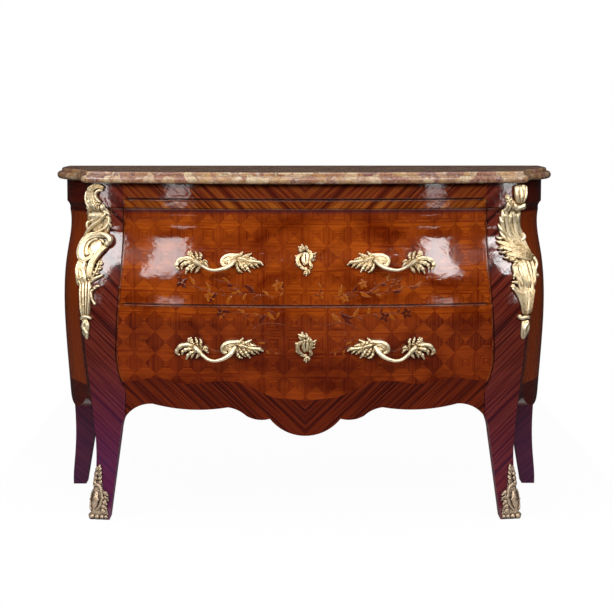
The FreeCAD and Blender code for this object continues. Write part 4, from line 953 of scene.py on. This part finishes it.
for level in DRAWERS:
    cartouche(level)
    for side in SIDES:
        bow_handle(level, side)
left_chute()
right_chute()
for side in SIDES:
    sabot(side)

SATINWOOD = inlay_wood("inlaid_satinwood_polished", "#86400E", "#9E5517")
STAINED_WOOD = inlay_wood("inlaid_stained_wood_polished", "#64220B", "#7C360F")
EBONISED_WOOD = inlay_wood("inlaid_ebonised_wood_polished", "#42130A", "#5C200D")
# Near black in the inlay finish: painted shadow in the gaps round the drawers
GAP_SHADOW_LINE = inlay_wood("painted_gap_shadow_polished", "#120504", "#260A08")
INLAY_WOODS = {"satinwood": SATINWOOD, "stained_wood": STAINED_WOOD, "ebonised_wood": EBONISED_WOOD}
INLAY_RISE = 0.15
LEAF_BEND = 24
LEAF_WOODS = ("satinwood", "stained_wood", "ebonised_wood", "satinwood", "stained_wood")
STEM_STEPS, FIRST_LEAF, LEAFY_STEPS = 40, 3, 34
WHOLE_FRONT = front_lay(-1, 0, 0)


def inlaid_leaf(bm, lay, x, z, angle, length, width):
    """One inlaid leaf or petal from its root."""
    points = []
    for share, part in ((0, 0.1), (0.35, 1), (0.7, 0.7), (1, 0.05)):
        turn = math.radians(angle + LEAF_BEND * share)
        run = length * share
        points.append((x + run * math.cos(turn), z + run * math.sin(turn), 0, width * part, INLAY_RISE))
    stroke(bm, lay, points, steps=8)


def bloom(woods, lay, x, z, size, petal, eye, petals=5):
    """An inlaid flower."""
    for number in range(petals):
        inlaid_leaf(woods[petal], lay, x, z, 360 * number / petals + 17, size, size * 0.3)
    inlaid_leaf(woods[eye], lay, x - size * 0.2, z, -12, size * 0.45, size * 0.2)


def spray(woods, lay, stem, leaves, length, first=1):
    """An inlaid stem with leaves to either side, light and dark by turns."""
    stroke(woods["stained_wood"], lay, [(x, z, 0, 0.6, INLAY_RISE) for x, z in stem], steps=24, ring=6)
    line = along(stem, STEM_STEPS)
    for number in range(leaves):
        i = FIRST_LEAF + int(LEAFY_STEPS * number / leaves)
        run = line[i + 1] - line[i]
        side = first if number % 2 else -first
        angle = math.degrees(math.atan2(run[1], run[0])) + side * 38 - 12
        wood = LEAF_WOODS[number % len(LEAF_WOODS)]
        size = length * (1.05 - 0.35 * number / leaves) * (1 + 0.3 * math.sin(4.1 * number + length))
        x, z = map(float, line[i])
        inlaid_leaf(woods[wood], lay, x, z, angle + 20 * math.sin(3 * number), size, size * 0.17)


def flower_inlay(level):
    """Loose flower sprays across the meeting edges of the two drawers."""
    woods = {wood: bmesh.new() for wood in INLAY_WOODS}
    lay = WHOLE_FRONT
    grow, flower = partial(spray, woods, lay), partial(bloom, woods, lay)
    if level == "upper":
        grow([(-70, 566), (-130, 578), (-190, 572), (-250, 588), (-318, 606)], 11, 30)
        grow([(-150, 576), (-180, 600), (-225, 612)], 5, 20, -1)
        grow([(60, 562), (120, 582), (185, 576), (250, 592), (310, 600)], 11, 28, -1)
        grow([(150, 580), (190, 604), (240, 616)], 5, 20)
        grow([(-64, 570), (-58, 590), (-66, 616)], 4, 16)
        grow([(40, 560), (34, 580), (48, 604)], 4, 15)
        flower(-300, 602, 17, "ebonised_wood", "satinwood", 4)
        flower(-232, 570, 15, "satinwood", "ebonised_wood")
        flower(-66, 596, 16, "satinwood", "stained_wood")
        flower(140, 600, 13, "satinwood", "ebonised_wood")
        flower(222, 600, 15, "stained_wood", "satinwood")
        flower(96, 566, 13, "satinwood", "stained_wood")
    else:
        grow([(-46, 536), (-110, 524), (-170, 532), (-222, 520)], 9, 24, -1)
        grow([(50, 534), (115, 520), (185, 530), (262, 524)], 10, 26)
        flower(-204, 530, 14, "ebonised_wood", "satinwood", 4)
        flower(192, 520, 15, "ebonised_wood", "stained_wood", 4)
        flower(246, 528, 15, "ebonised_wood", "satinwood")
        inlaid_leaf(woods["ebonised_wood"], lay, 84, 528, -40, 34, 6)
        inlaid_leaf(woods["satinwood"], lay, -92, 536, -70, 30, 5)
        for side in (-1, 1):
            scroll = [(44, 500), (92, 506), (126, 490), (118, 466), (92, 462), (88, 478), (102, 482)]
            stroke(woods["stained_wood"], lay, [(side * x, z, 0, 1, INLAY_RISE) for x, z in scroll], steps=36, ring=6)
            grow([(side * 118, 462), (side * 96, 440), (side * 56, 430)], 6, 14, side)
    for wood, bm in woods.items():
        piece(f"{level}_{wood}_inlay", bm, f"{level}_drawer", INLAY_WOODS[wood], "veneered_wood")


EDGES = {
    "upper": ((801, 442), (730, 443.5), (650, 447), (590, 452), (549.5, 456.5)),
    "lower": ((545.5, 456.5), (500, 460), (443, 462.5), (408, 462.5), (372, 456), (350, 449)),
}
BEAD_HALF, BEAD_RISE = 1.7, 1.1
LINE_GAP = 4.2
OPENING_HALF, OPENING_TOP = 446, 805
MEETING_HALF, MEETING_HEIGHT = 455, 549.6
ACROSS = (-1, -0.5, 0, 0.5, 1)


def edge_beads(level):
    """Rounded polished edges round a drawer front, which catch the light as fine lines."""
    bm = bmesh.new()
    lay = WHOLE_FRONT
    edge = EDGES[level]
    for side in (-1, 1):
        stroke(bm, lay, [(side * half, z, 0, BEAD_HALF, BEAD_RISE) for z, half in edge], steps=40)
    z, half = edge[0]
    stroke(bm, lay, [(x * half, z - 1, 0, BEAD_HALF, BEAD_RISE) for x in ACROSS], steps=60)
    piece(f"{level}_edge_beads", bm, f"{level}_drawer", FRIEZE_WOOD, "veneered_wood")


def shadow_lines():
    """Dark lines round the drawer openings and along the meeting edge of the drawers: painted shadow in the gaps."""
    bm = bmesh.new()
    lay = WHOLE_FRONT
    for side in (-1, 1):
        for edge in EDGES.values():
            stroke(bm, lay, [(side * (half + LINE_GAP), z, 0, 0.9, INLAY_RISE) for z, half in edge], steps=40, ring=6)
    stroke(bm, lay, [(OPENING_HALF * x, OPENING_TOP, 0, 1.6, INLAY_RISE) for x in ACROSS], steps=60, ring=6)
    piece("opening_painted_shadow_lines", bm, "carcass", GAP_SHADOW_LINE, "veneered_wood")
    bm = bmesh.new()
    stroke(bm, lay, [(MEETING_HALF * x, MEETING_HEIGHT, 0, 1, INLAY_RISE) for x in ACROSS], steps=60, ring=6)
    piece("upper_drawer_painted_shadow_line", bm, "upper_drawer", GAP_SHADOW_LINE, "veneered_wood")


for level in DRAWERS:
    flower_inlay(level)
    edge_beads(level)
shadow_lines()


def lamp(name, place, target, size, power):
    """A soft rectangular lamp that points at a target."""
    data = bpy.data.lights.new(name, "AREA")
    data.shape = "RECTANGLE"
    data.size, data.size_y = size
    data.energy = power
    made = placed(name, data)
    made.location = place
    made.rotation_euler = (Vector(target) - Vector(place)).to_track_quat("-Z", "Y").to_euler()


WHITE = (1, 1, 1, 1)
FLOOR_HALF, FLOOR_MIDDLE = (0.85, 1.55, 1), (0, 1.06, 0)
WALLS_SIZE, WALLS_MIDDLE = (8, 10, 3.4), (0, -1.5, 1.69)


def sees_background(add):
    """One for rays that come from the camera, a mirror or glass."""
    path = add("LightPath", out=slice(None))
    rays = {socket.name: socket for socket in path}
    mirror = add("Math", {0: rays["Is Glossy Ray"], 1: rays["Is Transmission Ray"]}, operation="MAXIMUM")
    return add("Math", {0: rays["Is Camera Ray"], 1: mirror}, operation="MAXIMUM")


def paper_floor():
    # Matt white paper: it takes a soft shadow, and the camera and the polish see it as plain white
    paper = bpy.data.materials.new("studio_paper")
    paper.use_nodes = True
    paper.node_tree.nodes.clear()
    add = partial(add_node, paper.node_tree)
    sheet = add("BsdfDiffuse", {"Color": srgb("#F6F6F6")})
    glow = add("Emission", {"Color": WHITE, "Strength": 1.0})
    share = add("Math", {0: sees_background(add), 1: 0.96}, operation="MULTIPLY")
    both = add("MixShader", {0: share, 1: sheet, 2: glow})
    add("OutputMaterial", {"Surface": both})
    bm = bmesh.new()
    ground = bmesh.ops.create_grid(bm, x_segments=1, y_segments=1, size=1)["verts"]
    bmesh.ops.scale(bm, verts=ground, vec=FLOOR_HALF)
    bmesh.ops.translate(bm, verts=ground, vec=FLOOR_MIDDLE)
    made = formed("studio_floor", bm, paper)


def cloth_walls():
    # Black cotton with a short nap: it mirrors next to nothing, so the polish looks deep
    cloth, add, shader, place = new_material("black_studio_cloth", Roughness=0.9)
    nap = figure(add, place, (30, 30, 30))
    weave = add("ValToRGB", {"Fac": nap}, stops=[(0.3, "#121214"), (0.7, "#1C1C20")])
    feed(shader, {"Base Color": weave})
    bm = bmesh.new()
    walls = bmesh.ops.create_cube(bm, size=1)["verts"]
    bmesh.ops.scale(bm, verts=walls, vec=WALLS_SIZE)
    bmesh.ops.translate(bm, verts=walls, vec=WALLS_MIDDLE)
    lid = [face for face in bm.faces if face.normal.z > 0.5]
    bmesh.ops.delete(bm, geom=lid, context="FACES")
    made = formed("studio_cloth", bm, cloth)
    made.visible_camera = False


def surround():
    """An even white surround, seen at full strength only by the camera, mirrors and glass."""
    world = bpy.data.worlds.new("studio_surround")
    scene.world = world
    world.use_nodes = True
    world.node_tree.nodes.clear()
    add = partial(add_node, world.node_tree)
    strength = add("Math", {0: sees_background(add), 1: 0.2, 2: 0.8}, operation="MULTIPLY_ADD")
    sky = add("Background", {"Color": WHITE, "Strength": strength})
    add("OutputWorld", {"Surface": sky})


AIM = (0, -0.2, 0.55)
CAMERA_PLACE, CAMERA_DROP, CAMERA_TURN = (-0.025, -4.526, 1.0105), 6.105, -0.36
SENSOR_WIDTH, FOCAL_LENGTH = 36, 103.8


def lamps_and_camera():
    """Soft boxes to both sides and overhead, low strips for the frieze and the corners, and the camera."""
    lamp("left_soft_box", (-1.88, -3.1, 2.25), AIM, (0.5, 1.4), 20)
    lamp("right_soft_box", (1.86, -3.1, 2.2), AIM, (0.37, 1.3), 22)
    lamp("left_low_strip", (-1.66, -3.1, 0.68), AIM, (0.3, 0.1), 0.6)
    lamp("right_low_strip", (1.74, -3.1, 0.68), AIM, (0.24, 0.1), 0.5)
    lamp("left_corner_strip", (-2.49, -2.5, 0.67), AIM, (0.08, 0.3), 1.1)
    lamp("right_corner_strip", (2.55, -2.5, 0.67), AIM, (0.08, 0.3), 1.1)
    lamp("left_side_box", (-2.7, -2.5, 1.95), AIM, (0.55, 1.5), 42)
    lamp("right_side_box", (2.7, -2.54, 1.9), AIM, (0.34, 0.55), 12)
    lamp("overhead_bank", (0.25, -4.2, 3.0), (0, -0.1, 0.5), (3.4, 1.2), 116)
    camera = placed("camera", bpy.data.cameras.new("camera"))
    camera.data.sensor_width = SENSOR_WIDTH
    camera.data.lens = FOCAL_LENGTH
    camera.location = CAMERA_PLACE
    camera.rotation_euler = (math.radians(90 - CAMERA_DROP), 0, math.radians(CAMERA_TURN))
    scene.camera = camera


paper_floor()
cloth_walls()
surround()
lamps_and_camera()
